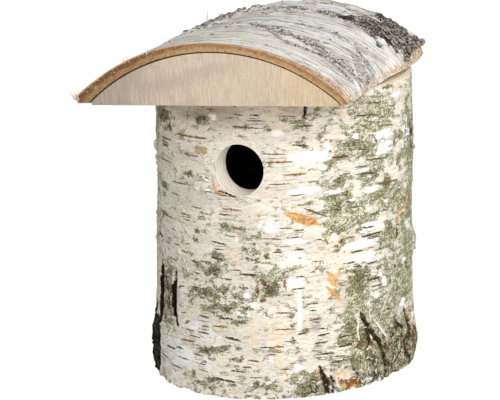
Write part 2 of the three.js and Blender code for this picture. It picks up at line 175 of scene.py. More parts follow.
# Marks on the trunk are drawn at this radius, so that a degree is so many millimetres.
MARK_RADIUS = 83
TRUNK_STEP = radians(1) * MARK_RADIUS

# The charred swelling low on the left is drawn a little further out.
RIDGE_RADIUS = 84

# Depth of a place that is far outside every line.
FAR_OUTSIDE = -9

# Lenticels: azimuth and height of both ends, thickness, and warmth from dark to rusty.
DASHES = (
    (-35.7, 163, -14.8, 162.4, 1.6, .75), (-30.1, 151.6, -20.6, 150.7, 1.1, .6),
    (-59, 143.4, -39, 143.6, 1.2, .55), (-40.2, 131.8, -24.8, 132.5, 1.1, .4),
    (-51.6, 157.6, -39.1, 158, 1.4, .45), (-50.5, 153, -42.9, 153.5, 1.5, .2),
    (-19.8, 138.6, -14.1, 137.9, 1, .7), (-41.4, 124.6, -32.4, 124.2, .8, .1),
    (-16.6, 180.5, -11.2, 180.5, 1.3, .8), (-10.4, 128, -4.8, 127.8, .9, .2),
    (-17.9, 130.3, -1.4, 127, .6, .8), (-2.2, 178.2, 1.9, 177.4, 1.4, .5),
    (5, 177.8, 9.2, 177.1, 1.7, .2), (3.3, 174.3, 12.2, 173.9, .9, .45),
    (-3.7, 170.7, 10.9, 169.3, 1.1, .6), (-4.6, 176, -2.7, 175.6, .9, .1),
    (18.2, 176.6, 25, 175.4, .8, .6), (9.5, 154, 21, 153.1, .9, .5), (11.7, 148.6, 24.2, 148.3, 1.4, .65),
    (19.9, 140.3, 29.4, 140.2, 1.5, .75), (13.4, 135, 22.6, 134.9, .9, .65),
    (22.6, 127.5, 29.7, 127.5, 1, .4), (-9.3, 166.3, -8.3, 165.8, 1, .1),
    (25.7, 169.7, 32.6, 169.2, 1.2, .4), (23, 158.5, 30.1, 157.3, 1.5, .2),
    (40.3, 148.3, 48.7, 147.5, 1.8, .3), (57, 143.2, 66.5, 142.1, 1.3, .6),
    (51.6, 140, 58.4, 139.3, 1.1, .3), (45.6, 137.2, 49.7, 136.5, .8, .4),
    (51.9, 135.4, 61.7, 134.1, 1.3, .35), (51.3, 151.3, 58.4, 149.6, 1.1, .05),
    (36.8, 154.7, 38, 154.7, .8, .1), (39.1, 152.6, 40.8, 151.9, 1, .1),
    (51.6, 171.7, 64.1, 169.9, 1.3, .2), (64.1, 162.8, 74.8, 160.8, 1.2, .6),
    (64.9, 154.5, 69.1, 153.8, .9, .2), (56.7, 143.3, 70.4, 141.2, 1.5, .45),
    (58.4, 178.2, 66.5, 176.5, 1, .2), (68.2, 173.7, 76.9, 172.4, .9, .3),
    (-24.6, 119.1, -17.7, 118.6, .9, .3), (-19.7, 116.3, -13.9, 115.5, .9, .15),
    (-32.4, 113.2, -25.4, 113.2, 1.1, .75), (-30.4, 109.9, -21.2, 109.5, 1.1, .7),
    (-53.5, 109, -38.2, 108.1, 1.4, .5), (-40.6, 101.5, -35.9, 100.9, 1, .4),
    (-45.9, 91.6, -41.2, 90.9, 1.2, .15), (-37.6, 92.5, -32.8, 92.1, 1.1, .1),
    (-32.3, 89.4, -26.4, 88.9, 1.1, .75), (-29, 94.6, -25.1, 95, .8, .6),
    (-43.2, 82.7, -33.7, 81.6, .9, .1), (-25.9, 84.7, -20.4, 83.8, 1.2, .1),
    (-23.8, 77.8, -18.9, 77, 1.1, .6), (-33.7, 65.8, -28.9, 67.1, 1.3, .2),
    (-23.8, 68.5, -20.3, 67.8, 1.1, .1), (-20.3, 65.5, -14.9, 65.1, 1.2, .1),
    (-13.1, 99, -5, 97.1, 1.3, .1), (-12.3, 94.3, -6.5, 94.1, .9, .2), (-13.3, 89, -6.5, 87.7, 1.5, .05),
    (-8.1, 76.1, -2.6, 75.6, 1.2, .05), (-7.9, 119.9, 2, 118.9, 1.1, .75),
    (-9.5, 116.4, -3.3, 115.9, 1, .1), (-6.3, 103.3, -1.2, 102.5, .8, .2),
    (-3.3, 108.7, 2.9, 107, 1.4, .7), (10.7, 101.9, 19.4, 100.8, 1.2, .75),
    (22.6, 101.5, 28, 101.7, .9, .1), (18, 107.8, 24, 107.3, .9, .6), (24.2, 105.9, 28.6, 105.9, 1.3, .1),
    (18.3, 96.3, 22.9, 96.5, .8, .4), (24, 93.8, 28.6, 93.9, 1.2, .15), (14.8, 92.6, 19.4, 92.9, 1, .5),
    (3.7, 89.1, 4.9, 89, 1.2, .1), (.6, 79.4, 8.5, 78.8, 1.6, .05), (-3.5, 81.8, 1.8, 81.7, 1, .3),
    (25.1, 77, 28.9, 76.7, 1.2, .05), (22.7, 69.3, 28.9, 69.3, 1, .3), (21, 65.8, 24.3, 65.9, 1, .2),
    (28, 119.5, 38.6, 112.2, 1.2, .35), (33.5, 98.9, 36.3, 98.8, 1.3, .1),
    (46.6, 97, 51.9, 96.9, 1.1, .1), (55.6, 101.1, 62.9, 100.2, 1.2, .1),
    (54.9, 95.7, 62.9, 95.3, 1.5, .05), (49, 87.6, 55.9, 87.1, 1.6, .3),
    (58.4, 87.6, 62.1, 87.3, 1.2, .85), (45.6, 81.4, 52.3, 80.9, 1.4, .35),
    (50.3, 78.4, 55.3, 77.5, 1.3, .1), (31.6, 85.5, 36.9, 85.1, .9, .7), (30.7, 79, 33.5, 79, 1, .4),
    (43.8, 78.5, 46.3, 78.3, 1.2, .7), (44.4, 67.9, 47.5, 67.5, .9, .7),
    (58.8, 134.7, 61.7, 134.4, 1.1, .1), (64.1, 126.5, 79.2, 124.6, 1.5, .6),
    (46.9, 119.6, 50, 119.3, 1.2, .1), (48.7, 115.6, 55.6, 114.7, 1.1, .05),
    (66.9, 108.6, 70.9, 108.4, 1.2, .15), (55.6, 95.9, 68.2, 95.3, 1.9, .05),
    (58.1, 93.2, 66.5, 93, 1.1, .4), (57.7, 78, 63.3, 77.6, 1.3, .1), (57.7, 67.5, 66.5, 66.7, 1.8, .05),
    (59.5, 62.5, 68.2, 62, 1.2, .05), (70, 44.5, 73.8, 43.9, 1.5, .05), (46.9, 35.4, 52.6, 35, 1.2, .2),
    (46.9, 29.7, 50.4, 29.6, 1.3, .05), (-31.6, 49.2, -28, 50.5, 1.1, .65),
    (-27.9, 45.6, -24.6, 45.6, 1.1, .8), (-29.3, 43.8, -26.2, 43.8, 1, .75),
    (-27.9, 40, -22.2, 39.8, 1.3, .65), (-20.2, 40.1, -13.8, 39.9, 2, .6),
    (-25.3, 36.8, -19.1, 36.4, 1.3, .5), (-31.1, 32.5, -21.7, 33.2, 1.9, .8),
    (-43.6, 24.6, -34.5, 24.8, 1.6, .1), (-34.5, 26.7, -28.8, 26.8, 1.4, .2),
    (-50.3, 17, -42.1, 16.3, 1.1, .5), (-34, 20.8, -25.3, 20.5, 1.3, .6),
    (-22.9, 25.5, -16.9, 25, 1.3, .5), (-38.9, 14.1, -29.6, 13.6, 1.3, .6),
    (-18, 22.1, -14.8, 21.9, 1.3, .65), (-19.1, 20, -14.8, 19.6, .9, .5),
    (-19.4, 16, -14.1, 15.7, 1.1, .5), (-19.9, 50.8, -13.9, 50.3, 1.8, .5),
    (-18.1, 44.2, -14.2, 44.5, 1.2, .6), (-12.2, 45.5, -7.7, 45.3, 1.4, .4),
    (-5.9, 39, 1.8, 37.5, 2.4, .15), (-3.1, 18.2, 4.1, 17.7, 1.2, .2), (-1.9, 21.4, 1.3, 21, 1, .8),
    (2.1, 20.9, 6.7, 20.7, 1.1, .6), (-10.9, 12.2, -.7, 10.9, 1.6, .1), (5.3, 14.5, 12.2, 14.2, 1, .5),
    (9.7, 33.5, 16.2, 33.1, 1.1, .15), (16.5, 33.5, 20, 33.4, 1.6, .8), (20, 36.7, 25.4, 36.7, 1, .2),
    (15.9, 44.4, 25.1, 44, 1, .6), (15.7, 54.9, 23.8, 54.4, 1, .4), (13.2, 28.8, 16.8, 28.8, .9, .5),
    (4.4, 25.3, 9.7, 24.6, 1.4, .55), (18.4, 19, 24.1, 18.9, .9, .6), (22.4, 22.5, 25.9, 22.5, .8, .5),
    (25.7, 40.5, 28.9, 40.7, 1.2, .1), (3.6, 2.8, 7, 2.5, 1.1, .2), (-9, 51.2, -1.7, 50.8, 1.5, .05),
    (29.4, 58.9, 34.6, 59, 1.3, .35), (30.5, 54.7, 34.1, 54.7, .9, .1), (30.8, 48.6, 36, 49.5, 1.3, .45),
    (32.1, 47.2, 35.5, 46.8, .9, .5), (34.1, 42.6, 39.2, 42.2, 1.1, .15), (34.4, 38.3, 40, 38.8, 1.7, .1),
    (32.7, 33.6, 39.2, 33.7, 1.5, .45), (31.6, 29.1, 36.6, 28.4, 1.1, .45),
    (33.8, 26.3, 42.4, 25.8, 1.5, .05), (40.9, 23.5, 46.9, 23, 1.1, .1),
    (40.3, 19.8, 47.2, 20.1, 1.3, .2), (43.3, 35.1, 48.7, 35.3, 1.3, .02), (43.6, 29, 50.7, 29, 1.4, .1),
)

# Patches of colour or growth: azimuth, height, half width in degrees, half height, strength.
PATCHES = {
    "growth": (
        (66, 168, 8, 12, .55), (69, 144, 7, 9, .55), (66, 118, 6, 10, .65), (77.6, 114, 10, 9, .77),
        (86, 97, 11, 16, .67), (80, 62, 12, 13, .9), (83, 50, 9, 9, .7), (72, 48, 10, 10, .75),
        (63, 39, 8, 9, .65), (80, 22, 16, 16, .85), (93, 139, 8, 30, .72), (110, 150, 12, 26, .55),
        (112, 80, 13, 34, .52), (128, 112, 15, 45, .36), (108, 22, 12, 18, .6), (93, 100, 8, 30, .67),
        (93, 69, 8, 20, .72), (-14.4, 80.7, 9, 6, .45), (1, 63, 10, 8, .5), (-24.6, 60, 9, 6, .3),
        (14, 78, 7, 6, .7), (-18, 108, 6, 5, .25), (-4, 108, 6, 4, .35), (-14.6, 28.7, 10, 3, .35),
        (15.7, 30, 7, 4, .35), (13, 8, 7, 4, .4), (-33, 163, 5, 5, .5), (-20, 7, 7, 4, .6),
        (41.5, 119, 4.5, 16, .68), (38, 143, 3, 4, .55), (26, 170, 4, 4, .5), (-62, 165, 7, 14, .6),
        (-66, 110, 7, 20, .5), (72, 89, 7, 6, .8), (55, 100, 4, 3, .6), (47.8, 153, 5, 6, .6),
        (48, 48.5, 5, 7, .6), (63, 43.5, 6, 6, .95), (42, 15, 3, 3, .6), (33, 12, 10, 7, .5),
        (49, 6.7, 10, 7, .6), (-47, 170, 9, 9, .35), (-45, 155, 7, 9, .25), (46, 61, 6, 9, .35),
        (51, 35, 6, 9, .85), (39, 27, 8, 8, .15), (55, 176, 14, 6, .4), (28, 176, 10, 5, .3),
        (-62, 150, 9, 40, .3), (-60, 95, 9, 30, .32), (60, 150, 7, 25, .45), (50, 110, 6, 20, .35),
    ),
    "warm": (
        (42, 103, 9, 13, .8), (52, 89, 8, 11, .9), (21.6, 171.6, 11, 9, .6), (35.6, 155.7, 9, 13, .6),
        (17.3, 38, 6, 18, .8), (67.5, 170, 6, 13, .5), (12, 120, 12, 14, .55), (0, 150, 10, 12, .5),
        (51, 66, 5, 12, .9), (25, 15, 10, 8, .6), (-8, 45, 8, 8, .4),
    ),
    "moss": (
        (14.3, 69.5, 4, 5, .95), (-20, 66, 12, 9, .5), (-8, 58, 12, 7, .6), (-27, 75, 10, 6, .45),
        (70, 126, 5, 8, .7), (62, 134, 5, 5, .6), (76, 150, 6, 8, .5), (30, 8, 9, 6, .6),
        (-12, 30, 10, 3, .7), (10, 8, 8, 4, .5), (55, 30, 3.5, 7, 1), (6, 92, 6, 8, .55),
        (-47, 172, 8, 7, .7), (-17.9, 174.3, 4.7, 3.9, .9), (-27.1, 175.2, 2.6, 3.6, .6),
        (-25.5, 139.2, 4.6, 2.4, .8), (-37.8, 139.6, 5.3, 3.2, .5), (-49.7, 171.1, 13.1, 6.1, .6),
        (-48.3, 127.3, 6.9, 3.3, .8), (-49.2, 120.9, 6.2, 3.7, .5), (3.3, 169.8, 1.7, 1.6, .7),
        (11.2, 154.9, 2.5, 6.2, .35), (28.3, 175.6, 2.2, 3.5, .8), (28.5, 162, 3, 3.5, .6),
        (34.3, 179.1, 2.5, 2.3, .7), (29, 156.1, 2.7, 1.6, .6), (36.5, 164.7, 2.8, 4.3, .6),
        (47.4, 161.5, 1.9, 2, .6), (51.9, 154.3, 3.6, 2.8, .8), (44.7, 147.6, 4.5, 2.4, .6),
        (43.5, 133.3, 4.8, 5.1, .7), (47.5, 124.1, 1.9, 3.6, .8), (69.5, 185.2, 6.4, 2, .7),
        (100, 158.1, 7.1, 4.9, .7), (93.5, 139.2, 11, 5.3, .6), (79.8, 137.3, 3.7, 6.5, .7),
        (89.3, 169.3, 3.3, 5.3, .7), (81, 153, 3.8, 5.6, .5), (-21.2, 104.2, 2.3, 2.4, .7),
        (-21.9, 98.5, 2.3, 2.8, .7), (-49.1, 108.6, 7.4, 3.3, .5), (-12.3, 80.6, 4.3, 4.4, .8),
        (-9.7, 90.2, 3.9, 4.4, .5), (-16.7, 84, 5, 2.4, .5), (-41.8, 72.8, 4.1, 3.3, .7),
        (-6.3, 109.7, 4, 2, .6), (-17.8, 72.5, 5.8, 2.4, .4), (-14.3, 66.2, 8.6, 4.5, .75),
        (6.5, 101.9, 2.5, 3.2, .5), (7.4, 98.3, 1.9, 2, .6), (9.6, 103.5, 1.1, 2.4, .6),
        (12.9, 98.2, 1.6, 2, .6), (12.6, 90.7, 1.6, 2.8, .8), (8.2, 88, 3.1, 4, .6),
        (-9.7, 81.8, 2.2, 2.8, .7), (6.9, 78.8, 2, 1.6, .7), (2.9, 70.3, 3.1, 2, .6),
        (-6.6, 69.2, 3.4, 4.8, .7), (5.7, 74, 2.2, 1.6, .4), (16.7, 72.6, 1.6, 3.6, .9),
        (30.7, 121.8, 2.8, 2, .6), (30.2, 118, 3, 2.4, .5), (43.5, 117.6, 2.4, 5.1, .9),
        (44.1, 101.9, 2.7, 2.4, .7), (38, 97.3, 1.7, 2.4, .6), (45, 95.4, 2.1, 2.4, .7),
        (42.6, 91.1, 1.5, 2.4, .6), (45.9, 88.4, 1.4, 1.4, .6), (54.6, 68.8, 7.8, 12.1, .75),
        (23.7, 81.9, 1.6, 2.8, .4), (63.3, 131.3, 3.5, 2.4, .7), (66.5, 118.4, 6.3, 2.4, .6),
        (63.3, 107.7, 3.9, 2.4, .8), (72.8, 96.2, 4.4, 5.7, .7), (48.7, 100.1, 2.8, 1.6, .7),
        (75.8, 82.1, 4.3, 3.7, .6), (86.6, 81.1, 5, 3.3, .7), (84.4, 76.5, 5.2, 4.1, .7),
        (93.4, 98.1, 5.3, 2.1, .7), (66.5, 73.1, 5.5, 2, .7), (76.4, 108.8, 2.7, 2.4, .5),
        (84.4, 111.1, 4.4, 2.5, .6), (96.1, 108.7, 5.3, 8.3, .6), (57.7, 63.9, 5.3, 3.2, .6),
        (64.1, 52, 3.2, 2.5, .7), (88.3, 48.9, 6.5, 3.3, .7), (49.4, 40, 3.5, 4.1, .7),
        (50, 30.5, 1.9, 1.6, .5), (70, 14.4, 5.5, 6.2, .8), (93.3, 2.8, 10.3, 2.6, .6),
        (87.4, 19.4, 6.2, 5.1, .6), (56.3, 33.8, 3.1, 6.5, .8), (-15.5, 28.9, 3.5, 3.3, .8),
        (-10.9, 57.1, 5.9, 3.2, .7), (-6.4, 32.1, 6.2, 2, .6), (-11.1, 11.3, 5.9, 2.5, .8),
        (-12.4, 6.5, 5, 3.3, .6), (-22.5, 13.4, 2.3, 2.9, .6), (-27.4, 9.9, 2.6, 2.5, .6),
        (-3.1, 24.7, 2.4, 2.4, .5), (-37.9, 49.6, 4.7, 5, .5), (-31.2, 55.3, 2.9, 2.5, .4),
        (-40.3, 41.7, 7.2, 3.8, .5), (-4.7, 55.8, 4.9, 4, .8), (3.5, 58, 3.4, 2.4, .8),
        (.4, 48.9, 3.2, 2, .8), (-6.8, 45.4, 1.6, 1.2, .8), (11.9, 54.4, 1.6, 3.2, .6),
        (23.2, 52.5, 2.4, 4.4, .5), (23.5, 45.2, 1.6, 2.4, .5), (23.8, 36.3, 1.9, 3.2, .6),
        (.4, 32.7, 2.9, 2.4, .6), (-.8, 25.3, 4.4, 2, .6), (-9, 11.7, 3.2, 1.6, .8),
        (-2.5, 8.8, 3, 1.6, .7), (8.6, 10.3, 1.9, 2.4, .9), (12.7, 6.7, 1.1, 3.3, .7),
        (26, 5.6, 3, 4.9, .6), (13, 12.8, 2.2, 1.6, .6), (16.8, 11.8, 1.9, 2, .6),
        (29.4, 41.6, 1.6, 2.4, .7), (44.8, 31.1, 4.2, 2.4, .6), (32.7, 9.8, 2.2, 4.1, .9),
        (38.3, 6.2, 1.7, 4.9, .9), (50.3, 18.5, 4.8, 4.9, .6), (58.1, 22.1, 3.9, 2.5, .6),
    ),
    "lichen": (
        (54.6, 163.9, 7.9, 5.5, .9), (53.6, 147.6, 5, 2.4, .8), (58.8, 131.3, 4.7, 4, .6),
        (62.1, 180.7, 9, 3.1, .9), (61, 167.9, 10.8, 3.9, .9), (51.6, 155.6, 4.2, 4.7, .8),
        (38.6, 102.7, 3.2, 3.2, .8), (57, 106.3, 5.3, 4.8, .7), (53.6, 113.2, 6.7, 4.8, .5),
        (53.6, 75.1, 6, 5.2, .7), (23.9, 83.5, 1.4, 1.6, .6), (58.4, 127.5, 3.6, 2, .6),
        (56.7, 118, 8.8, 3.6, .7), (53.9, 106.7, 4, 3.2, .7), (70, 88.2, 4.5, 3.3, .5),
        (76.9, 120.4, 3.3, 2.4, .6), (50.6, 126.7, 2.9, 5.5, .4), (51.6, 67.7, 6.5, 12.1, .8),
        (57.7, 55.8, 4.3, 4.5, .7), (62.1, 40, 3.4, 4.9, .9), (71.8, 24.8, 6.7, 3.3, .7),
        (56.7, 19.4, 5.6, 2.5, .7), (48.8, 19, 3.1, 3.3, .8), (71.8, 33.9, 5.3, 3.7, .6),
        (50.7, 39.6, 4.2, 4.9, .7), (48.7, 39.4, 3.1, 3.7, .9), (51.3, 18.2, 5.8, 4.9, .9),
        (45.7, 33.3, 4.6, 3.3, .5), (23.7, 81.5, 1.9, 3.6, .5), (9, 115.7, 1.9, 5.5, .4),
        (2.7, 11.3, 4.3, 3.7, .5), (26.7, 56.1, 1.6, 4.8, .3), (-16.6, 43.9, 2.1, 1.2, .3),
    ),
    "white": (
        (61, 83, 4, 3, .7), (56, 73, 3, 2, .5), (61, 168, 3, 2, .5), (84, 44, 4, 4, .6),
        (62, 132, 3, 2, .6), (17, 166, 3.5, 3.5, .6), (-22, 44, 7, 5, .42), (-12, 38, 9, 6, .45),
        (-28, 22, 8, 6, .4), (-15, 20, 8, 5, .42), (-36, 100, 7, 14, .3), (-30, 62, 5, 14, .32),
        (38.2, 155.1, 1.7, 3.1, .8), (29.9, 150.1, 9.1, 4.3, 1), (51.6, 159.5, 2, 2, .8),
        (36.8, 142.8, 2.6, 2, .7), (28.5, 129.5, 6.6, 2.8, .9), (41.4, 127, 3.8, 1.6, .9),
        (60.2, 123.3, 4.5, 1.6, .8), (66.9, 156.5, 7.3, 3.6, 1), (69.1, 148.4, 5.8, 4.4, 1),
        (56, 137.2, 5.2, 1.2, .8), (87.5, 153.2, 4.3, 5.7, .9), (78, 178.7, 4.6, 2, .7),
        (14.5, 108.5, 3.8, 5.1, .7), (24.5, 89.8, 4.6, 4, .8), (9.6, 109.8, 1.4, 1.6, .7),
        (-.9, 100.9, 1.8, 1.6, .7), (25.9, 73.7, 2.7, 3.6, .9), (4.1, 65.9, 2.6, 2.4, .6),
        (23.9, 99, 5.4, 2, .8), (41.8, 98.5, 2.1, 2, .9), (58.8, 102.6, 4, 1, .9),
        (58, 98.8, 4.6, 1.2, .9), (54.6, 91.3, 8.9, 2.8, 1), (55.3, 83.1, 9, 3.2, 1),
        (23.1, 73.2, 3.2, 4, .8), (62.9, 123.9, 6.7, 1.8, 1), (70, 114.1, 2.3, .8, .8),
        (62.1, 101.6, 5.8, 1.6, 1), (60.2, 98.6, 7.1, 1, 1), (53.3, 78.1, 5, 1.2, .9),
        (92.3, 92.3, 4.7, 4.1, .7), (49.7, 120.1, 3.2, 1, .7), (85.9, 71, 3.1, 2.5, .7),
        (69.1, 63.3, 1.8, 2.9, .8), (64.1, 55.7, 2.8, 2, .7), (72.3, 28.8, 2.9, 2.1, .9),
        (97.6, 30.2, 6.9, 2.5, .7), (66.5, 68.7, 2.5, 1.2, .8), (-5.8, 58.9, 2.2, 1.6, .8),
        (6.9, 60.1, 2.8, 2.4, .7), (1.2, 54.2, 1.7, 2.4, .7), (4.1, 54.4, 1.4, 2, .7),
        (14.6, 26.1, 1.6, 2.8, .7), (13.5, 11.1, 2.2, 1.6, .7), (26.2, 58.1, .7, 20.1, .7),
        (26.9, 56, .8, 16.1, .8), (36.9, 40.7, 1.7, 1.6, .8), (25.9, 18.7, 3, 3.2, .7),
        (58.4, 4.3, 2.9, 2.5, .7), (27.2, 7.5, 1.6, 2.8, .3), (-12.8, 176.3, 2.3, 2.7, .7),
        (-16.5, 133.7, 2.5, 2.4, .8), (-20.5, 131.9, 2.3, 2.4, .7), (-25.7, 157.5, 6.4, 2.4, .35),
        (-35.1, 157.9, 6.5, 2.4, .35),
    ),
    "cream": (
        (46, 9, 6, 6, 1), (-2.1, 89.7, 3.9, 7.2, .9), (2.6, 114.5, 3.4, 4.8, .6),
        (6.9, 46.4, 3.1, 4.8, .8), (6.9, 38.3, 3.1, 3.6, .8), (17.8, 46.1, 1.9, 17.3, .8),
        (8.9, 22.1, 1.9, 3.7, .8), (19.5, 18.5, 1.6, 12.2, .6), (-18.8, 56.1, 2.2, 3.7, 1),
        (-13.5, 49.3, 1, 1.2, .3), (-45, 4.3, 4.7, 3.8, .5), (36.9, 89.1, 7.4, 7.2, .7),
        (44.4, 75.5, 2.7, 10, .8), (45.7, 64.4, 1.8, 5.6, .8), (31.8, 111.8, 6.1, 4.7, .5),
        (44.4, 56.3, 3.9, 4.8, .8), (57.4, 22.4, 1.8, 2.5, .5), (46.5, 173.8, 2.2, 3.5, .8),
        (43.5, 163.5, 1.8, 4.7, .8), (78, 183.9, 5.2, 5.2, .7), (81.7, 174.5, 5.3, 2.4, .5),
        (15, 178.8, 8.2, 3.5, .6), (-3.4, 167.4, 2.4, 2.3, .7), (3.9, 163.6, 4.3, 2.3, .6),
        (-10.2, 164.7, 3.9, 3.5, .4), (84.4, 102.9, 3.7, 4.9, .6), (82.3, 89.7, 3.3, 5.3, .5),
    ),
    "tan": (
        (61.5, 28, 1.1, 5, .9), (63.8, 20, 1.1, 5, .9), (65.6, 12, 1.1, 5, .9),
        (-19.1, 154.8, 4.1, 3.2, 1), (-47.4, 5.4, 5.4, 5.5, .6), (-25.2, 2.2, 5.4, 2.5, .5),
        (-18.4, 55.4, 1.8, 4.1, .6), (9.7, 3, 6.3, 1.6, .4), (-6.1, 3.9, 1.8, 3.3, .6),
    ),
    "orange": (
        (23.9, 120.1, 1.9, .7, .9), (44.1, 77.6, 1.2, 2, .6), (33.5, 84.5, .6, 1.6, .6),
        (83.7, 104.8, 2.8, 1.8, .9), (81, 99.5, 1.1, 2.5, 1), (106.4, 5.7, 5.9, 3, 1),
        (50.3, 4.2, 4.2, 3.3, 1), (43.6, 11.9, 1.8, .8, .8), (35.2, 14.2, 1.4, 2.4, .7),
        (28.6, 2, 2.7, 1.2, .8), (45.7, 4.3, 2.4, 3.7, .5), (35.2, 4.1, 2, 2.4, .6),
        (1.3, 2.2, 3.5, .7, .4), (17.3, 34, 1.6, 1, .7), (-48.2, 109.3, 6.9, 2.5, .5),
    ),
    "rust": (
        (88, 30, 3.5, 5, .8), (91, 20, 4, 6, .8), (86, 14, 3, 4, .7), (60, 27, 2.5, 3, .7),
        (45, 6, 4, 3, .7), (52, 4, 5, 3, .7), (57, 13, 3, 5, .5), (69, 18, 2.5, 6, .6),
        (82.3, 20, 2.3, 2.5, .9), (82.9, 6.7, 3.4, 1.7, .6), (53.3, 27.4, 2, 2, .6), (49, 5, 4, 3.4, 1),
        (58.5, 29, 2, 4, .8), (-43.8, 171.3, 5.3, 1.2, .8), (-41, 165.6, 5.3, 4.4, .6),
        (11.6, 74.4, 1.6, 2.4, .8), (8.8, 68.8, 1.1, 3.2, .8), (20.2, 72.3, .9, 4.4, .8),
        (18.9, 66.8, 1.1, 2, .6), (-57, 30, 7.7, 2.1, .6), (-65.9, 43.1, 5.1, 8.6, .4),
        (11.6, 62.9, 3.3, 1.6, .6), (96.2, 145.3, 7.7, 4.1, .6),
    ),
    "violet": (
        (33.8, 44.9, 3.6, 8.1, .7), (34.7, 31.8, 3.9, 6.1, .6), (30, 8.3, 3, 4.5, .9),
        (28.6, 23.5, 3, 2.4, .5), (1.7, 103.4, 3.2, 3.6, .7), (1.1, 100.2, 1.7, 2.4, .7),
        (17.2, 115, 1.6, 1.2, .6), (12.9, 94.7, 2.5, 2.4, .6), (36.8, 116.9, 2, 2.8, .5),
        (47.2, 103.6, 2.5, .8, .6), (45.6, 113.1, 1.2, 2, .6), (50.3, 156.6, 2.6, 1.2, .7),
        (29.8, 164.9, 3.6, 2.7, .5), (36.8, 133, 3.4, 1.6, .5), (27.3, 23.7, 1.6, 4.5, .8),
        (28.1, 6.1, 1.6, 4.1, .8), (81, 45.2, 7.2, 6.2, .8), (69.1, 58, 2.7, 2.5, .4),
        (56.7, 15.2, 3.8, 2.5, .7), (-29.9, 93.6, 2.8, 2.4, .4), (-25.4, 66, 2.9, 4.9, .4),
        (-37.3, 32.7, 6.4, 3.3, .4), (-29.6, 23.8, 3.7, 2.5, .5),
    ),
}

# Cracks and torn grooves of the trunk's bark: depth, then azimuth, height and half width of
# each point along them.
CRACKS = (
    (3.4, ((-48.5, 78, 1.4), (-49.5, 70, 3.6), (-50.5, 60, 4.4), (-50.5, 48, 4.4),
           (-52.2, 40, 3), (-56.9, 33, 1))),
    (3.4, ((-36.3, 76, 1), (-36.2, 70, 2), (-37.2, 64, 2.6), (-37.4, 58, 3),
           (-36.9, 50, 2.6), (-35.6, 45, 1.8), (-34.1, 41, .8))),
    (3.4, ((53.6, 49.3, .4), (56.7, 42.3, 1.2), (60.3, 34.5, 1.5), (64.9, 25.9, 1.4),
           (66.9, 19.9, 1.3), (68.6, 13, 1.1), (69, .4, 1.5))),
    (1.6, ((57, 40, .3), (58.3, 33, .9), (59.4, 27.5, 1.2), (57.5, 24, .4))),
    (1.8, ((75.8, 39.4, .3), (79.1, 31.4, .9), (82.9, 28.1, .9))),
    (2.8, ((85.6, 38.5, .5), (88.3, 27.5, 1.6), (86.6, 23.6, 1.3), (83.2, 18.1, 1.5),
           (84.3, 10.3, 1.2), (89.2, 5.6, .6))),
    (2.4, ((35.2, 18.6, .3), (36.9, 11.9, 1.5), (38.1, 6.3, 1.6), (38.6, .4, 1.4))),
    (2, ((39.5, 13, .2), (41.4, 7.5, .8), (40.6, .4, .8))),
    (1.6, ((50.6, 13.6, .3), (53.4, 9, .6), (55.4, 5, .3))),
    (3, ((92.5, 156, .8), (96.5, 148, 2.8), (95.5, 139.5, .6))),
    (2.2, ((28.9, 181.5, .9), (28.8, 177.2, .6))),
    (1.6, ((79.5, 95.5, .5), (79.2, 87.6, .7))),
    (1.6, ((77.4, 70.5, .5), (76.9, 66, .5))),
    (1, ((-56.2, 94.4, .7), (-49, 91.7, .5))),
    (1.2, ((61.2, 156.8, .7), (62.3, 153.8, .7))),
    (1.2, ((-10.1, 130.6, .3), (-6, 129.4, .4), (-1.4, 127.4, .3))),
)

# Thin curled edges of paper bark: colour share from dark to pale, then azimuth, height and half
# width of each point.
CURLS = (
    (.1, ((-33.8, 110.2, .3), (-29, 102.7, .5), (-25.1, 99.1, .5))),
    (.5, ((-31.8, 100.5, .3), (-28.1, 92.4, .4), (-23.9, 88.4, .4), (-19.6, 85.1, .3))),
    (.3, ((-31.3, 79.8, .5), (-28.9, 74.6, .5))),
    (.2, ((-56.2, 88.6, .4), (-48, 80.4, .5), (-45.4, 77.9, .4))),
    (1, ((-21, 152.8, .4), (-15.8, 146.5, .8), (-10.4, 139.5, .6))),
    (.8, ((-17.9, 130.8, .3), (-10.1, 130.9, .5), (-1.4, 128, .4))),
    (1, ((53.3, 51, .4), (53.3, 42.9, .7), (53, 34.9, .7), (53.9, 30.5, .5))),
    (1, ((60, 45, .4), (65, 36, .7), (69, 29, .7), (71.5, 26, .4))),
    (.7, ((80.4, 101, .5), (76.9, 67.5, .6), (73.8, 58.3, .8), (70, 51.5, .8), (66.9, 43.2, .5))),
    (1, ((55, 156, .3), (58, 159.5, .6), (63, 158.5, .6), (65.3, 153, .5), (62, 149, .4))),
)

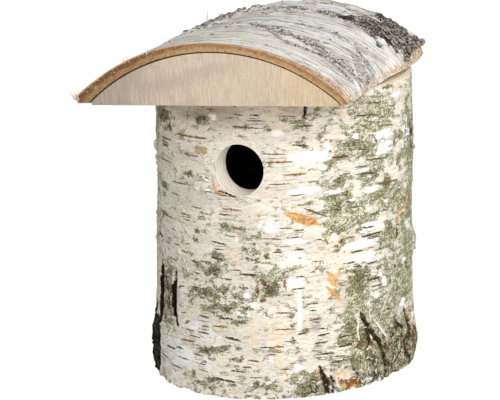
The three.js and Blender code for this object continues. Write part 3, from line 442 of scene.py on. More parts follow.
# Torn strokes that show the orange inner bark, and rusty scars: azimuth, height, half width.
STROKES = (
    ((20.1, 117, .8), (24, 114.6, 2.6), (30, 111, 3.1), (34.6, 108.4, .8)),
    ((37.7, 78.6, .4), (40.5, 74.6, 1.6), (43.8, 70.4, .4)),
    ((38.6, 73.6, .4), (41, 70.2, 1.5), (43.2, 67, .4)),
    ((38, 68.9, .4), (41, 64, 1.7), (44.4, 58.7, .4)),
    ((-13, 139.5, .2), (-12.4, 134, .7), (-11, 129.8, 1), (-5, 128.6, .3)),
    ((91, 113, .4), (90, 108, 1.2), (89.5, 104.5, .6)),
    ((12.4, 62, -.4), (13.2, 48, -.2), (12, 30, -.3), (12.8, 5, -.1)),
)
SCARS = (
    ((12, 77.5, .1), (9, 74.5, .6), (8, 69, .9), (9.2, 65.5, .1)),
    ((17, 78, .1), (20.4, 73.5, .7), (20.9, 68.5, .5), (18.6, 62.5, .1)),
    ((10.5, 63.5, .1), (14, 61.3, .4), (17, 62.5, .1)),
    ((56.4, 152.5, .2), (56.6, 157, .5), (60, 159.8, .6), (64, 157.5, .4), (65.2, 153, .2)),
    ((57.5, 150.5, .2), (61, 149.2, .5), (64, 151.2, .3)),
    ((59, 153.5, .2), (60.5, 156.8, .4), (62.8, 155, .3)),
    ((30.5, 107.5, .3), (33.5, 111.5, .7), (37.5, 113, .5)),
    ((24, 107, .4), (25.5, 104, .6)),
)

# Scraps of the trunk's bark that stand off it: azimuth, height, bearing of the fixed edge,
# length, width and curl.
FLAKES = (
    (-66, 148, 85, 9, 4.5, .9), (-67, 140, 95, 5, 3, 1.1), (-65, 136, 60, 4, 3, .6),
    (-66, 104, 90, 4, 2.6, .8), (-64, 132, 80, 5, 1.6, .7), (-66, 172, 100, 6, 2, .6),
    (-64, 100, 90, 5, 1.8, .6), (-65, 88, 80, 4, 1.8, .8), (-20, 134.4, 12, 9, 5.2, 3.4),
    (-15.4, 131, -12, 8, 4, 3), (-23.4, 130.6, 60, 6, 3.6, 3.4), (-16, 137, -30, 7, 3, 2.6),
    (-12, 146, -62, 9, 1.8, 1.1), (-17.5, 150, -55, 8, 1.6, 1), (-33, 118, -40, 4.4, 2, 1.4),
    (-30, 115.5, -40, 3.6, 1.9, 1.4), (-33.5, 88, -50, 6, 2.2, 1.6), (-30, 84, -50, 4.6, 2, 1.6),
    (-28, 79.5, -60, 5.4, 2.1, 1.3), (99, 152, 80, 9, 3.4, 1), (101, 140, 100, 6, 3, 1.2),
    (104, 72, 90, 3, 2.2, .9), (102, 120, 95, 8, 1.4, .6), (66, 155, -30, 5, 2.2, 1.4),
    (62, 150, 30, 4, 2, 1.4), (-48, 77, 80, 4, 1.6, 1.2), (-35, 78.5, 60, 3, 1.4, 1.2),
    (54, 46, 82, 9, 1.8, 1.1), (60, 44, 100, 8, 1.8, 1.1), (89, 36, 80, 6, 2, 1),
    (13.5, 56, 80, 4, 1.2, 1), (57, 78, 0, 3, 1.2, 1), (-12, 119, -20, 3.4, 1.2, 1.3),
)

# Splinters on the roof: place, direction, length and radius.
SPLINTERS = (
    (-47.7, 21.3, 218.5, 0, .1, 1, 8, .5), (-53, -91.3, 214.6, -.5, -.2, 1, 3, .5),
    (-55.5, -91.2, 213.2, -.6, -.2, 1, 2.6, .6), (-40.5, -91.7, 218.5, .1, -.6, .9, 3, .4),
    (-49.6, -34.5, 216.5, -.8, 0, .5, 3.4, .4), (-50, -34, 216.5, -.2, 0, 1, 3, .35),
    (-40, -91, 220, .2, -.3, 1, 3.2, .3), (21.4, -91.2, 222.4, .25, -.4, 1, 5, .35),
    (22.4, -91.3, 222, -.1, -.5, -1, 4, .3), (24, -90.8, 222.3, .6, -.4, .8, 3.4, .3),
    (80, 60, 194, .3, .2, 1, 2.6, .4), (81, 64, 193.5, .2, .5, .8, 2.4, .4),
    (79, 70, 194.4, .2, .6, .9, 2.6, .4),
)

# Streaks and seams of the roof's bark: depth of the groove (a ridge where it is less than
# nothing), then x, y and half width of each point, in millimetres.
ROOF_SEAMS = (
    (1.8, ((-75, 22, 1.6), (-37, -1, 2.6), (-21, -13, 3), (-11, -12, 2.6), (2, -18, 2.6),
           (11, -26, 3), (22, -28, 3.4), (34, -34, 3.8), (46, -40, 4.2), (60, -45, 4.6),
           (70, -47, 4.2), (78, -51, 2.8))),
    (1.2, ((20, -40, 1.4), (38, -56, 2.2), (50, -52.5, 2.8), (62, -52, 2.6), (78, -62, 1.6))),
    (2.2, ((-40, 62, 2.5), (0, 52, 2.8), (18, 47, 3.4), (29, 47, 4), (40, 43, 4.2), (49, 39, 4),
           (60, 32, 3))),
    (.9, ((15, -30, .8), (28, -40, 1), (47, -26, 1.1), (52, -25, .8))),
    (.8, ((-60, -8, .8), (-31, -5, 1.2), (-16, -13, 1), (5, -8, .7))),
    (.8, ((-8, 29, 1.2), (1, 37, 1.4), (18, 30, 1))),
    (.6, ((20, -4, .7), (40, 2, .9), (62, -6, .8), (76, -18, .8))),
)

# Streaks on the roof that aren't seams: x, y and half width of each point.
CRUST_LINES = (
    ((34, 50, 1), (44, 48, 5), (60, 52, 18), (90, 60, 26)), ((50, 86, 4), (72, 72, 14)),
)
SCUFFED_LINES = (((68, -18, 4), (80, -32, 9), (88, -60, 5)),)
TEAR_LINES = (((63, 32, .5), (68, 27, 1.8), (69, 22, 1)),)
STRIP_LINES = (
    ((67.7, 35.2, 1), (76.5, 21.2, 3), (84.1, 6.6, 3.4)), ((81.1, 1.6, 1), (81, 23.2, 2.5)),
)

# Rough and clean spots of the trunk, given as patches are, and rough sides: azimuth, half width
# in degrees and strength.
ROUGH_SPOTS = ((-44, 58, 7, 22, 1.02), (-52, 173, 9, 9, .8))
CLEAN_SPOTS = ((47, 9, 7, 9, .85),)
ROUGH_SIDES = ((98, 10, .42), (-70, 12, .36))

# Lenticels of the side away from the camera: how many, and the range of each number that is
# drawn: azimuth, height, length in degrees, thickness, warmth and slope.
HIDDEN_DASHES = 130
HIDDEN_DASH_RANGES = ((118, 286), (8, 182), (3, 14), (.8, 1.6), (.05, .8), (-.6, .6))

# Patches of that side: how many of each kind with the seed of the draw, and their ranges.
HIDDEN_PATCHES = {
    "moss": (60, 3), "lichen": (30, 4), "white": (25, 5), "cream": (8, 6), "tan": (5, 7),
    "orange": (3, 8), "rust": (5, 9), "violet": (12, 10), "growth": (26, 12), "warm": (10, 13),
}
HIDDEN_PATCH_RANGES = ((116, 288), (2, 184), (2, 7), (2, 9), (.4, .85))

# Small flakes scattered on the trunk: how many, and the range of each number of a flake.
SMALL_FLAKES = 70
SMALL_FLAKE_RANGES = ((-72, 110), (4, 183), (-35, 35), (1.2, 3.6), (.5, 1.3), (.5, 1.9))


def bell(offset, spread):
    """1 where the offset is nothing, falling as e to the minus square of offset over spread."""
    return np.exp(-((offset / spread) ** 2))


def smooth(value, low, high):
    """0 below low, 1 above high, and between them the cubic 3 t^2 - 2 t^3."""
    t = np.clip((value - low) / (high - low), 0, 1)
    return t * t * (3 - 2 * t)


def corner_values(cells, seed):
    """Numbers from -1 to 1 at whole-number cells: their three indices mixed by odd factors."""
    x, y, z = (cells[..., axis].astype(np.int64) for axis in range(3))
    mixed = (x * MIX_X + y * MIX_Y + z * MIX_Z + seed * MIX_SEED) & LOW_WORD
    mixed = ((mixed ^ (mixed >> 13)) * MIX_SEED) & LOW_WORD
    mixed ^= mixed >> 16
    return (mixed & LOW_HALF) / (LOW_HALF / 2) - 1


def noise(points, size, seed, octaves=1):
    """Smooth random field from about -1 to 1: values at the corners of cells of the given size,
    blended by cubics inside each cell, and each further octave half as large and half as strong."""
    total, weight = 0, 0
    for octave in range(octaves):
        place = points / (size / 2 ** octave)
        cell = np.floor(place)
        part = place - cell
        part = part * part * (3 - 2 * part)
        field = 0
        for corner in np.ndindex(2, 2, 2):
            share = np.prod(np.where(corner, part, 1 - part), axis=-1)
            field = field + share * corner_values(cell + corner, seed + octave)
        total = total + field / 2 ** octave
        weight += 1 / 2 ** octave
    return total / weight


def draws(draw, ranges, count):
    """One column of even random numbers for each range, drawn in their order."""
    return [draw.uniform(low, high, count) for low, high in ranges]


def turn_between(azimuth, centre):
    """Signed turn in degrees from centre to azimuth, the short way round."""
    return (azimuth - centre + 180) % 360 - 180


def trunk_axis(height):
    """Where the leaning middle line of the trunk is at a height."""
    return LEAN_RIGHT * height, LEAN_BACK * height


def trunk_radius(height):
    """Radius over the bark: a straight cone from root to top."""
    return TRUNK_ROOT_RADIUS + (TRUNK_TOP_RADIUS - TRUNK_ROOT_RADIUS) * height / TRUNK_HEIGHT


def stacked(x, y, z):
    """Points or directions from their three parts, any of which may be one number for all."""
    return np.stack(np.broadcast_arrays(x, y, z), -1)


def trunk_place(azimuth, height, radius):
    """Points round the leaning axis at an azimuth, height and radius."""
    turn = np.radians(azimuth)
    x, y = trunk_axis(height)
    return stacked(x + radius * np.sin(turn), y - radius * np.cos(turn), height)


def trunk_swell(azimuth, height):
    """The part's own relief: a bell round each swelling, and two slow waves round the trunk."""
    rise = 0
    for centre, spread, level, reach, share in TRUNK_SWELLS:
        rise = rise + BARK_THICKNESS * share * bell(turn_between(azimuth, centre), spread) * bell(
            height / TRUNK_HEIGHT - level, reach)
    around, upward = np.radians(azimuth), height / TRUNK_HEIGHT * np.pi
    rise = rise + BARK_WAVE * np.cos(3 * around + upward) * np.cos(2 * upward)
    return rise + BARK_WAVE * np.sin(7 * around + 2 * upward) / 2


def line_depth(across, up, points):
    """How far inside a line of changing half width each place lies: at the nearest point of each
    straight stretch, half width less distance. Less than nothing outside."""
    best = np.full(np.shape(across), -99.0)
    for (x0, y0, w0), (x1, y1, w1) in zip(points, points[1:]):
        dx, dy = x1 - x0, y1 - y0
        t = np.clip(((across - x0) * dx + (up - y0) * dy) / (dx * dx + dy * dy), 0, 1)
        gap = np.hypot(across - x0 - t * dx, up - y0 - t * dy)
        best = np.maximum(best, w0 + t * (w1 - w0) - gap)
    return best


def deepest(across, up, lines):
    """How far inside the nearest of several lines each place lies."""
    return np.maximum.reduce([line_depth(across, up, points) for points in lines])


def on_trunk(points):
    """Azimuths turned into millimetres round the trunk, for lines drawn on it."""
    return [(azimuth * TRUNK_STEP, height, half) for azimuth, height, half in points]


def patch_field(azimuth, height, patches):
    """Largest of the bells round the patches, each scaled by its strength."""
    field = np.zeros(np.shape(azimuth))
    for centre, level, wide, tall, strength in patches:
        near = bell(turn_between(azimuth, centre), wide) * bell(height - level, tall)
        field = np.maximum(field, strength * near)
    return field


def dash_fields(azimuth, height, dashes):
    """For the nearest lenticel of each place: its half thickness there, tapered to nothing at its
    ends by a square root, the signed distance from its middle line, and its warmth."""
    half = np.zeros(np.shape(azimuth))
    offset = np.full(np.shape(azimuth), 3.0)
    warmth = np.zeros(np.shape(azimuth))
    for a0, z0, a1, z1, thick, warm in dashes:
        run = (a1 - a0) * TRUNK_STEP
        length = np.hypot(run, z1 - z0) / 2
        ux, uz = run / length / 2, (z1 - z0) / length / 2
        across = turn_between(azimuth, (a0 + a1) / 2) * TRUNK_STEP
        up = height - (z0 + z1) / 2
        along_it, off = across * ux + up * uz, up * ux - across * uz
        taper = np.sqrt(np.clip(1 - (along_it / length) ** 2, 0, 1))
        nearer = (np.abs(off) < np.abs(offset)) & (np.abs(along_it) < length)
        half = np.where(nearer, thick / 2 * taper, half)
        offset = np.where(nearer, off, offset)
        warmth = np.where(nearer, warm, warmth)
    return {"dash_half": half, "dash_offset": offset, "dash_warmth": warmth}


def hidden_dashes():
    """Lenticels for the side away from the camera, drawn from a fixed seed."""
    azimuth, height, length, thick, warm, slope = draws(
        np.random.default_rng(11), HIDDEN_DASH_RANGES, HIDDEN_DASHES)
    return tuple(zip(azimuth - length / 2, height, azimuth + length / 2, height + slope, thick,
                     warm))


def hidden_patches(count, seed):
    """Patches of growth or colour for the side away from the camera, from a fixed seed."""
    return tuple(zip(*draws(np.random.default_rng(seed), HIDDEN_PATCH_RANGES, count)))


def ridge_field(azimuth, height):
    """The charred swelling low on the left: an oval whose outline wanders, cut off on its right."""
    drift = noise(trunk_place(azimuth, height, RIDGE_RADIUS), 8, 8, 3)
    oval = np.hypot(turn_between(azimuth, -62) / 12, (height - 22) / 27)
    return smooth(1.02 - oval + .3 * drift, 0, .3) * smooth(-49.5 - turn_between(azimuth, 0), 0, 5)


def rough_field(azimuth, height):
    """How rough the bark is: a root that narrows upwards, an oval knot at the right, the foot,
    and the rough sides and spots, less the clean spot at the foot."""
    root = smooth(42 - height - np.abs(turn_between(azimuth, 78)) * .6, 0, 10)
    knot = smooth(12 - np.hypot(turn_between(azimuth, 92), (height - 150) / 2), 0, 8)
    foot = smooth(16 - height, 0, 12) * smooth(40 - np.abs(turn_between(azimuth, 60)), 0, 25)
    foot = np.maximum(foot, .9 * smooth(6 - height, 0, 6))
    sides = [strength * bell(turn_between(azimuth, centre), wide)
             for centre, wide, strength in ROUGH_SIDES]
    rough = np.maximum.reduce([root * .72, knot * .5, foot * .55, *sides,
                               patch_field(azimuth, height, ROUGH_SPOTS)])
    return rough * (1 - patch_field(azimuth, height, CLEAN_SPOTS))


def bark_fields(azimuth, height):
    """Named fields over the trunk's bark for its relief and its finish: bells round the patches,
    the nearest lenticel, how far inside each kind of line a place lies, and how rough it is."""
    across = (turn_between(azimuth, BARK_LOOK_AZIMUTH) + BARK_LOOK_AZIMUTH) * TRUNK_STEP
    fields = {
        kind: patch_field(azimuth, height, patches + hidden_patches(*HIDDEN_PATCHES[kind]))
        for kind, patches in PATCHES.items()
    }
    fields |= dash_fields(azimuth, height, DASHES + hidden_dashes())
    crack, groove = FAR_OUTSIDE, 0
    for depth, points in CRACKS:
        inside = line_depth(across, height, on_trunk(points))
        crack = np.maximum(crack, inside)
        widest = max(half for _, _, half in points)
        groove = np.maximum(groove, depth * smooth(inside, -.3, widest * .8))
    curl, tone = FAR_OUTSIDE, 0
    for shade, points in CURLS:
        inside = line_depth(across, height, on_trunk(points))
        tone = np.where(inside > curl, shade, tone)
        curl = np.maximum(curl, inside)
    return fields | {
        "crack": crack, "groove": groove, "curl": curl, "curl_tone": tone,
        "shallow": smooth(across, 30, 60), "ridge": ridge_field(azimuth, height),
        "rough": rough_field(azimuth, height),
        "stroke": deepest(across, height, [on_trunk(points) for points in STROKES]),
        "scar": deepest(across, height, [on_trunk(points) for points in SCARS]),
    }


def trunk_relief(azimuth, height, fields, strength):
    """Relief over the bark's cone, scaled by a strength: the part's swellings, papery bands
    stretched round the trunk, lumps where the bark is rough, raised lenticels and curls, and
    grooves at the cracks."""
    place = trunk_place(azimuth, height, trunk_radius(height))
    flat = place * (1, 1, 5)
    relief = trunk_swell(azimuth, height) + .14 * noise(flat, 22, 1, 3)
    relief += .16 * noise(place, 11, 2, 2) + .07 * noise(flat, 5, 3) + .07 * noise(place, 2.2, 7)
    relief += fields["rough"] * (1.5 * noise(place * (1, 1, .6), 3.4, 4, 3) + .2)
    relief += fields["ridge"] * (2.6 * noise(place * (1, 1, .8), 3.6, 5, 3) - .3)
    relief += .16 * np.clip(fields["moss"] - .25, 0, 1) * noise(place, 1.9, 6)
    relief += .22 * smooth(fields["dash_half"] - np.abs(fields["dash_offset"]), -.3, .3)
    relief += .35 * smooth(fields["curl"], -.4, .4)
    relief -= .45 * np.maximum(smooth(fields["orange"], .35, .5),
                               smooth(fields["stroke"], -.3, .5))
    return strength * (relief - fields["groove"])


def wrapped_quads(rows, columns, close_rows):
    """Quads of a grid whose columns close on themselves, and its rows too where that is asked."""
    row = np.arange(rows if close_rows else rows - 1)[:, None]
    side = np.arange(columns)[None]
    ahead, above = (side + 1) % columns, (row + 1) % rows
    return np.stack([row * columns + side, row * columns + ahead, above * columns + ahead,
                     above * columns + side], -1).reshape(-1, 4)


def strip_quads(grid):
    """Quads between neighbouring rows and columns of a grid of vertex numbers."""
    return np.stack([grid[:-1, :-1], grid[:-1, 1:], grid[1:, 1:], grid[1:, :-1]],
                    -1).reshape(-1, 4)


def tube_quads(rows, half):
    """Quads of a flat tube whose rings run there and back with half their vertices each, closed
    at both ends by strips between the two halves."""
    ring, column = 2 * half, np.arange(half)
    ends = [strip_quads(np.array([start + column, start + ring - 1 - column]))
            for start in (0, (rows - 1) * ring)]
    return np.concatenate([wrapped_quads(rows, ring, False), *ends])


def repeated(quads, count, size):
    """The quads of one small piece of so many vertices, repeated for a number of pieces."""
    return (quads[None] + (np.arange(count) * size)[:, None, None]).reshape(-1, 4)


def end_caps(count, rings):
    """The first and the last ring of a tube as flat faces."""
    last = (rings - 1) * count
    return list(range(count)), list(range(last, last + count))


def edit_mesh(mesh, change):
    """Runs one step on the editable form of a mesh and writes it back."""
    shell = bmesh.new()
    shell.from_mesh(mesh)
    change(shell)
    shell.to_mesh(mesh)
    shell.free()


def new_piece(name, points, quads, caps=()):
    """Mesh object from points in millimetres, quads and flat end faces, with normals outwards."""
    mesh = bpy.data.meshes.new(name)
    points = np.asarray(points, float).reshape(-1, 3)
    mesh.from_pydata((points * MM).tolist(), [], np.asarray(quads).tolist() + list(caps))
    edit_mesh(mesh, lambda shell: bmesh.ops.recalc_face_normals(shell, faces=shell.faces))
    piece = bpy.data.objects.new(name, mesh)
    bpy.context.scene.collection.objects.link(piece)
    return piece


def listed(items, what, kind, width=1):
    """One property of all vertices, edges, faces or corners of a mesh, as an array."""
    values = np.zeros(len(items) * width, kind)
    items.foreach_get(what, values)
    return values


def places(items, what):
    """Vertices or middles of faces in millimetres, a row for each."""
    return listed(items, what, np.float32, 3).reshape(-1, 3).astype(float) / MM


def drop_spare_corners(mesh):
    """Dissolves vertices that only two edges meet: between them a cut leaves a triangle folded
    flat on its neighbour."""
    ends = listed(mesh.edges, "vertices", np.int32, 2)
    spare = np.flatnonzero(np.bincount(ends, minlength=len(mesh.vertices)) == 2)

    def dissolve(shell):
        shell.verts.ensure_lookup_table()
        bmesh.ops.dissolve_verts(shell, verts=[shell.verts[index] for index in spare])

    edit_mesh(mesh, dissolve)


def carve(piece, cutters):
    """Takes closed cutters out of a piece and removes them."""
    for cutter in cutters:
        cut = piece.modifiers.new("carve", "BOOLEAN")
        cut.operation = "DIFFERENCE"
        cut.solver = "MANIFOLD"
        cut.object = cutter
    graph = bpy.context.evaluated_depsgraph_get()
    carved = bpy.data.meshes.new_from_object(piece.evaluated_get(graph))
    piece.modifiers.clear()
    drop_spare_corners(carved)
    plain = piece.data
    piece.data = carved
    bpy.data.meshes.remove(plain)
    carved.name = piece.name
    for cutter in cutters:
        bpy.data.meshes.remove(cutter.data)


def turned(name, profile, start, direction, sides):
    """Turned shape: each ring's radius and distance along the direction from start, closed by
    flat ends."""
    direction = np.asarray(direction, float) / np.linalg.norm(direction)
    side = np.cross(direction, (0, 0, 1) if abs(direction[2]) < .9 else (1, 0, 0))
    side /= np.linalg.norm(side)
    up = np.cross(direction, side)
    turn = np.arange(sides) / sides * 2 * np.pi
    spoke = np.cos(turn)[:, None] * side + np.sin(turn)[:, None] * up
    profile = np.asarray(profile, float)
    points = np.asarray(start) + profile[:, None, :1] * spoke + profile[:, None, 1:] * direction
    return new_piece(name, points, wrapped_quads(len(profile), sides, False),
                     end_caps(sides, len(profile)))


def box_cutter(name, low, high):
    """Closed box between two corners."""
    corners = [(x, y, z) for z in (low[2], high[2]) for x, y in (
        (low[0], low[1]), (high[0], low[1]), (high[0], high[1]), (low[0], high[1]))]
    return new_piece(name, corners, wrapped_quads(2, 4, False), end_caps(4, 2))


def screw_hole(face, outward, shank, head, length, sink=0):
    """Cutter for a countersunk screw, wider by the fit gap and open past the face."""
    start = np.asarray(face) - np.asarray(outward) * (sink + length + FIT_GAP)
    depth = length + FIT_GAP
    cone = head - shank
    profile = [(shank + FIT_GAP, 0), (shank + FIT_GAP, depth - SCREW_RIM - cone - FIT_GAP),
               (head + FIT_GAP, depth - SCREW_RIM - FIT_GAP), (head + FIT_GAP, depth + PAST_BACK)]
    return turned("cut_screw", profile, start, outward, HOLE_SIDES)


def hinge_screws(side):
    """Face, outward direction and sizes of the screws in one leaf: 1 is the roof's, -1 the
    trunk's."""
    return [((x, HINGE_FACE_Y, HINGE_AXIS_Z + side * share * HINGE_LEAF), BACKWARD, *HINGE_SCREW)
            for x, share in zip(HINGE_SCREW_X, HINGE_SCREW_SHARES)]


def hanger_screws():
    """Face, outward direction and sizes of the hanger's screws, the upper one first."""
    return [((HANGER_X, HANGER_FACE_Y, HANGER_Z + side * HANGER_PITCH), BACKWARD, *HANGER_SCREW)
            for side in (1, -1)]


def floor_screws():
    """Face, outward direction and sizes of the floor's screws, each set on the bark."""
    screws = []
    for azimuth in FLOOR_SCREW_AZIMUTHS:
        radius = trunk_radius(FLOOR_SCREW_Z) + trunk_swell(azimuth, FLOOR_SCREW_Z)
        outward = (sin(radians(azimuth)), -cos(radians(azimuth)), 0)
        screws.append((trunk_place(azimuth, FLOOR_SCREW_Z, radius), outward, *FLOOR_SCREW))
    return screws


def keyhole_pocket():
    """Cutter behind the hanger plate: the outline of its keyhole, wider by a margin."""
    wide, half = KEYHOLE_RADIUS + POCKET_MARGIN, KEYHOLE_SLOT / 2 + POCKET_MARGIN
    start = np.arccos(half / wide)
    low = np.linspace(start, start - (2 * start + np.pi) % (2 * np.pi), 64)
    high = np.linspace(np.pi, 0, 32)
    outline = np.concatenate([
        np.stack([wide * np.cos(low), wide * np.sin(low)], -1),
        np.stack([half * np.cos(high), KEYHOLE_RADIUS + KEYHOLE_RUN + half * np.sin(high)], -1)])
    count = len(outline)
    points = [stacked(HANGER_X + outline[:, 0], y, KEYHOLE_Z + outline[:, 1])
              for y in (BACK_FLAT_Y - POCKET_DEPTH, BACK_FLAT_Y + PAST_BACK)]
    return new_piece("cut_pocket", points, wrapped_quads(2, count, False), end_caps(count, 2))


def trunk_cutters():
    """What both parts of the trunk lose: the entrance bore, all behind the planed back, the
    keyhole's pocket and the screw holes."""
    x, _ = trunk_axis(ENTRANCE_HEIGHT)
    bore = turned("cut_bore", [(ENTRANCE_RADIUS, 0), (ENTRANCE_RADIUS, ENTRANCE_REACH)],
                  (x, -100, ENTRANCE_HEIGHT), BACKWARD, BORE_SIDES)
    back = box_cutter("cut_back", (-110, BACK_FLAT_Y, -12), (110, BACK_FLAT_Y + 40, 200))
    screws = hinge_screws(-1) + hanger_screws() + floor_screws()
    return [bore, back, keyhole_pocket(), *(screw_hole(*sizes) for sizes in screws)]


def azimuth_of(points):
    """Azimuth in degrees, height and distance from the leaning axis."""
    x, y = trunk_axis(points[:, 2])
    dx, dy = points[:, 0] - x, points[:, 1] - y
    return np.degrees(np.arctan2(dx, -dy)), points[:, 2], np.hypot(dx, dy)


def crowded_azimuths(count):
    """Azimuths crowded to twice their mean density round the side that the camera sees."""
    turn = np.arange(count) / count * 2 * np.pi
    return BARK_LOOK_AZIMUTH + np.degrees(turn - .5 * np.sin(turn))


def set_fields(mesh, fields):
    """Stores each field as a float attribute of the vertices."""
    for name, values in fields.items():
        layer = mesh.attributes.new(name, "FLOAT", "POINT")
        layer.data.foreach_set("value", np.asarray(values, np.float32))


def corner_mean(mesh, values):
    """Mean of a vertex value over each face's corners."""
    corners = listed(mesh.loops, "vertex_index", np.int32)
    starts = listed(mesh.polygons, "loop_start", np.int32)
    totals = np.add.reduceat(np.asarray(values)[corners], starts)
    return totals / np.diff(np.append(starts, len(corners)))


def finish_faces(piece, sharp_turn, *materials, slots=None):
    """Gives a piece its materials, smooth faces and sharp edges past a turn in degrees."""
    mesh = piece.data
    mesh.materials.clear()
    for material in materials:
        mesh.materials.append(material)
    if slots is None:
        slots = np.zeros(len(mesh.polygons))
    mesh.polygons.foreach_set("material_index", np.asarray(slots, np.int32))
    mesh.polygons.foreach_set("use_smooth", np.ones(len(mesh.polygons), bool))
    mesh.set_sharp_from_angle(angle=radians(sharp_turn))
    mesh.update()


def near_bore(middles):
    """Whether faces lie on the wall of the entrance bore."""
    x, _ = trunk_axis(ENTRANCE_HEIGHT)
    gap = np.hypot(middles[:, 0] - x, middles[:, 2] - ENTRANCE_HEIGHT)
    return (gap < ENTRANCE_RADIUS + .05) & (middles[:, 1] < -50)


def make_trunk_bark(settings):
    """Bark of the trunk: a grid in azimuth and height, its relief added to the cone, closed by
    the sawn rims and the face that lies on the wood."""
    azimuth = crowded_azimuths(BARK_COLUMNS)[None]
    height = np.linspace(BARK_LIFT, TRUNK_HEIGHT, BARK_ROWS)[:, None] + 0 * azimuth
    azimuth = azimuth + 0 * height
    relief = trunk_relief(azimuth, height, bark_fields(azimuth, height), settings.relief)
    outside = trunk_place(azimuth, height, trunk_radius(height) + relief)
    chips = np.clip(noise(outside * (1, 1, 0), 4.2, 41, 3) + .1, 0, 1)
    outside[..., 2] += 2.4 * chips * smooth(6 - height, 0, 6)
    rows = np.linspace(TRUNK_HEIGHT, BARK_LIFT, BARK_INNER_ROWS)[:, None] + 0 * azimuth[:1]
    inside = trunk_place(azimuth[:1], rows, trunk_radius(rows) - BARK_THICKNESS + FIT_GAP)
    points = np.concatenate([outside, inside])
    piece = new_piece("trunk_bark_fine", points, wrapped_quads(len(points), BARK_COLUMNS, True))
    carve(piece, trunk_cutters())
    mesh = piece.data
    azimuth, height, radius = azimuth_of(places(mesh.vertices, "co"))
    fields = bark_fields(azimuth, height)
    set_fields(mesh, fields)
    relief = trunk_relief(azimuth, height, fields, settings.relief)
    depth = corner_mean(mesh, trunk_radius(height) + relief - radius)
    slots = np.where(near_bore(places(mesh.polygons, "center")), 2, np.where(depth > .3, 1, 0))
    finish_faces(piece, 40, trunk_bark_finish(settings), sawn_bark_finish(), bore_finish(),
                 slots=slots)
    return piece


def make_trunk_wood(settings):
    """Wood of the trunk: a cone under the bark round the straight bore."""
    azimuth = (np.arange(WOOD_COLUMNS) / WOOD_COLUMNS * 360)[None]
    rows = np.linspace(0, TRUNK_HEIGHT, WOOD_ROWS)[:, None] + 0 * azimuth
    outside = trunk_place(azimuth, rows, trunk_radius(rows) - BARK_THICKNESS)
    turn = np.radians(azimuth)
    inside = stacked(CAVITY_X + CAVITY_RADIUS * np.sin(turn),
                     CAVITY_Y - CAVITY_RADIUS * np.cos(turn), rows[::-1])
    points = np.concatenate([outside, inside])
    piece = new_piece("trunk_wood_fine", points, wrapped_quads(len(points), WOOD_COLUMNS, True))
    carve(piece, trunk_cutters())
    middles = places(piece.data.polygons, "center")
    in_cavity = np.hypot(middles[:, 0] - CAVITY_X, middles[:, 1] - CAVITY_Y) < CAVITY_RADIUS + .1
    finish_faces(piece, 35, trunk_wood_finish(), bore_finish(), cavity_finish(),
                 slots=np.where(near_bore(middles), 1, np.where(in_cavity, 2, 0)))
    return piece


def along(shares, share):
    """One of the edge tables at a share of the length."""
    return np.interp(share, np.linspace(0, 1, len(shares)), shares)


def roof_relief(across, share):
    """The part's own relief of the roof: a bell round each swelling."""
    rise = 0
    for middle, spread, level, reach, height in ROOF_SWELLS:
        rise = rise + ROOF_BARK_THICKNESS * height * bell(across - middle, spread) * bell(
            share - level, reach)
    return rise


def roof_fields(x, y):
    """Named fields over the roof's bark: how rough, torn, scuffed and grooved each place is."""
    share = (y - ROOF_FRONT_Y) / ROOF_LENGTH
    seam, groove = FAR_OUTSIDE, 0
    for depth, points in ROOF_SEAMS:
        inside = line_depth(x, y, points)
        seam = np.maximum(seam, inside)
        groove = np.maximum(groove, depth * smooth(inside, -.6, 1.2))
    crust = smooth(deepest(x, y, CRUST_LINES), -5, 6)
    scuffed = smooth(deepest(x, y, SCUFFED_LINES), -5, 4)
    to_edge = x - ROOF_HALF_WIDTH * along(BARK_RIGHT, share)
    hem = smooth(to_edge, -4.5, -.8) * (.6 + .4 * smooth(share, .3, .9))
    silver = bell(x - 62, 34) * bell(y + 78, 26)
    shoulder = bell(x + 47, 13) * smooth(y, -45, 10)
    back, left = smooth(share, .6, .9), smooth(-60 - x, 0, 20)
    rough = .12 + .5 * back + .3 * left + .45 * smooth(seam, -5, 1) - .5 * silver
    rough = np.clip(rough + .7 * crust + .3 * scuffed + .6 * shoulder, .02, 1.2)
    return {"seam": seam, "groove": groove, "rough": rough, "crust": crust, "scuffed": scuffed,
            "hem": hem, "shoulder": shoulder,
            "tear": smooth(deepest(x, y, TEAR_LINES), -.8, .8),
            "strips": smooth(deepest(x, y, STRIP_LINES), -1.6, 1.4)}


def roof_bumps(x, y, fields, strength):
    """Fine relief of the roof's bark, scaled by a strength: streaks across the log, lumps where
    it is rough, and grooves at its seams."""
    place = stacked(x, y, 0)
    streaks = noise(place * (.16, 1, 1), 3.2, 21, 3)
    lumps = noise(place, 5.5, 22, 4)
    fine = noise(place * (.3, 1, 1), 1.5, 23, 2)
    rise = (.16 + .4 * fields["rough"]) * streaks + fields["rough"] * (1.5 * lumps + .25)
    rise += .14 * fine * (.4 + fields["rough"])
    rise += 2.6 * fields["shoulder"] * (.75 + lumps)
    rise += fields["crust"] * (2.1 * noise(place, 6, 24, 2) + 1.1 * noise(place, 2.6, 25, 2))
    rise += .9 * smooth(fields["seam"], -1.5, 1) * noise(place, 2.4, 26, 2)
    rise -= fields["groove"] * (.75 + .25 * lumps)
    return strength * (rise - 3 * fields["tear"] + .7 * fields["strips"])


